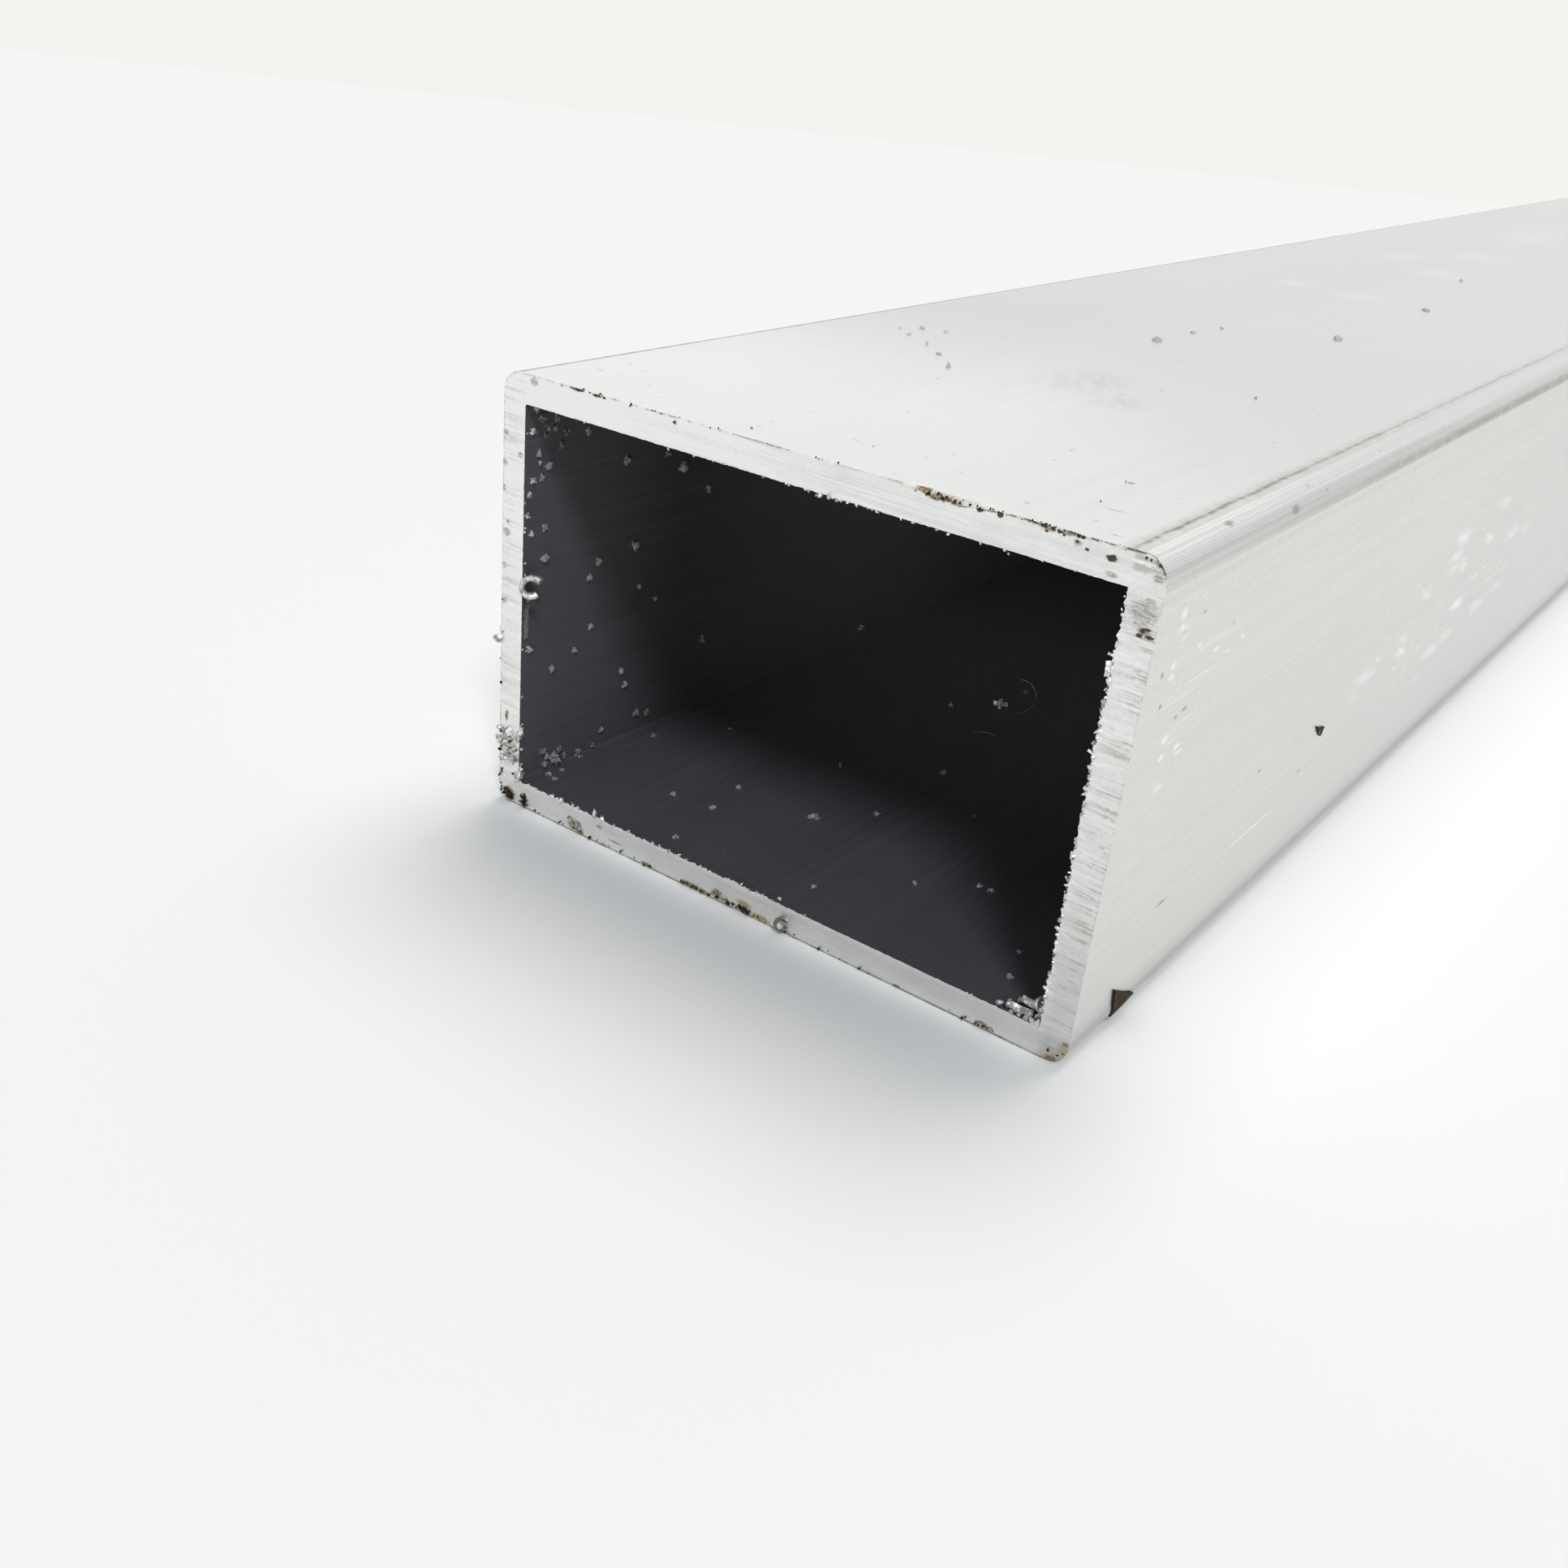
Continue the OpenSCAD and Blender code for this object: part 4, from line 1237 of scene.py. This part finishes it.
view = {
    "place": (0.083318, -0.423249, 0.089323),
    "right": (0.79586124, 0.59839903, 0.09232271),
    "down": (0.33757549, -0.31195078, -0.88810444),
    "ahead": (-0.50264069, 0.73797379, -0.45027438),
    "lens": 36.303,
}


def addCamera():
    camera = bpy.data.objects.new("camera", bpy.data.cameras.new("camera"))
    camera.data.lens = view["lens"]
    camera.data.sensor_width = 36.0
    camera.data.sensor_fit = "HORIZONTAL"
    camera.data.clip_start = 0.005
    across = Vector(view["right"])
    up = Vector(view["down"]) * -1.0
    back = Vector(view["ahead"]) * -1.0
    turn = Matrix((across, up, back)).transposed().to_4x4()
    camera.matrix_world = Matrix.Translation(view["place"]) @ turn
    bpy.context.collection.objects.link(camera)
    scene.camera = camera


studio = {
    "floorColour": rgb(0.905, 0.905, 0.905),
    "backdrop": rgb(0.896, 0.905, 0.862),
    "farEdge": 0.766,  # how far the sheet runs behind the tube
    "reach": 4.0,
    "sheetTurn": math.atan2(0.567, 0.823),
    "skyLight": 0.34,
    "skyColour": rgb(0.943, 0.975, 1.0),
    "skyHigh": 0.83,
    "skyLow": 0.76,
    "keyFrom": (-0.03, 0.39, 0.92),
    "keyPower": 1.42,
    "keySpread": math.radians(34),
    "keyColour": (1.0, 0.963, 0.928),
    "sheenPower": 0.5,  # the key as the metal mirrors it, wider and softer
    "sheenSpread": math.radians(100),
    "fillFrom": (0.444, -0.436, 0.783),
    "fillPower": 1.14,
    "fillSpread": math.radians(13),
    "fillColour": (0.943, 0.975, 1.0),
}


def addFloor():
    far, reach = studio["farEdge"], studio["reach"]
    corners = [(-reach, -reach, 0), (reach, -reach, 0), (reach, far, 0), (-reach, far, 0)]
    turn = Matrix.Rotation(studio["sheetTurn"], 4, "Z")
    mesh = bpy.data.meshes.new("floor")
    mesh.from_pydata([turn @ Vector(c) for c in corners], [], [(0, 1, 2, 3)])
    floor = bpy.data.objects.new("floor", mesh)
    bpy.context.collection.objects.link(floor)
    made, shader = newMaterial("paleFloor")[::2]
    shader.inputs["Base Color"].default_value = studio["floorColour"]
    shader.inputs["Roughness"].default_value = 0.9
    shader.inputs["Specular IOR Level"].default_value = 0.0
    mesh.materials.append(made)


def addSun(name, source, onMatt=True, onMetal=True):
    lamp = bpy.data.lights.new(name, "SUN")
    lamp.energy = studio[name + "Power"]
    lamp.color = studio[source + "Colour"]
    lamp.angle = studio[name + "Spread"]
    made = bpy.data.objects.new(name, lamp)
    made.visible_diffuse = onMatt
    made.visible_glossy = onMetal
    made.rotation_mode = "QUATERNION"
    made.rotation_quaternion = Vector(studio[source + "From"]).to_track_quat("Z", "Y")
    bpy.context.collection.objects.link(made)


def addSky():
    world = bpy.data.worlds.new("studio")
    scene.world = world
    world.use_nodes = True
    tree = world.node_tree
    tree.nodes.clear()
    path = addNode(tree, "ShaderNodeLightPath")
    seen = Wire(tree, path.outputs["Is Camera Ray"])
    glossy = Wire(tree, path.outputs["Is Glossy Ray"])
    mirrored = calc("MAXIMUM", glossy, Wire(tree, path.outputs["Is Transmission Ray"]))
    up = splitXyz(wire(tree, "ShaderNodeTexCoord"))[2]
    glow = smooth(up, 0.02, 0.42, studio["skyLow"], studio["skyHigh"])
    level = mirrored * glow + (1.0 - mirrored) * studio["skyLight"]
    plain = wire(tree, "ShaderNodeBackground", {"Color": studio["skyColour"], "Strength": level})
    shown = wire(tree, "ShaderNodeBackground", {"Color": studio["backdrop"], "Strength": 1.0})
    both = wire(tree, "ShaderNodeMixShader", {0: seen, 1: plain, 2: shown})
    addNode(tree, "ShaderNodeOutputWorld", {"Surface": both})


addCamera()
addFloor()
addSun("key", "key", onMetal=False)
addSun("sheen", "key", onMatt=False)
addSun("fill", "fill")
addSky()
print("camera, floor and light set")
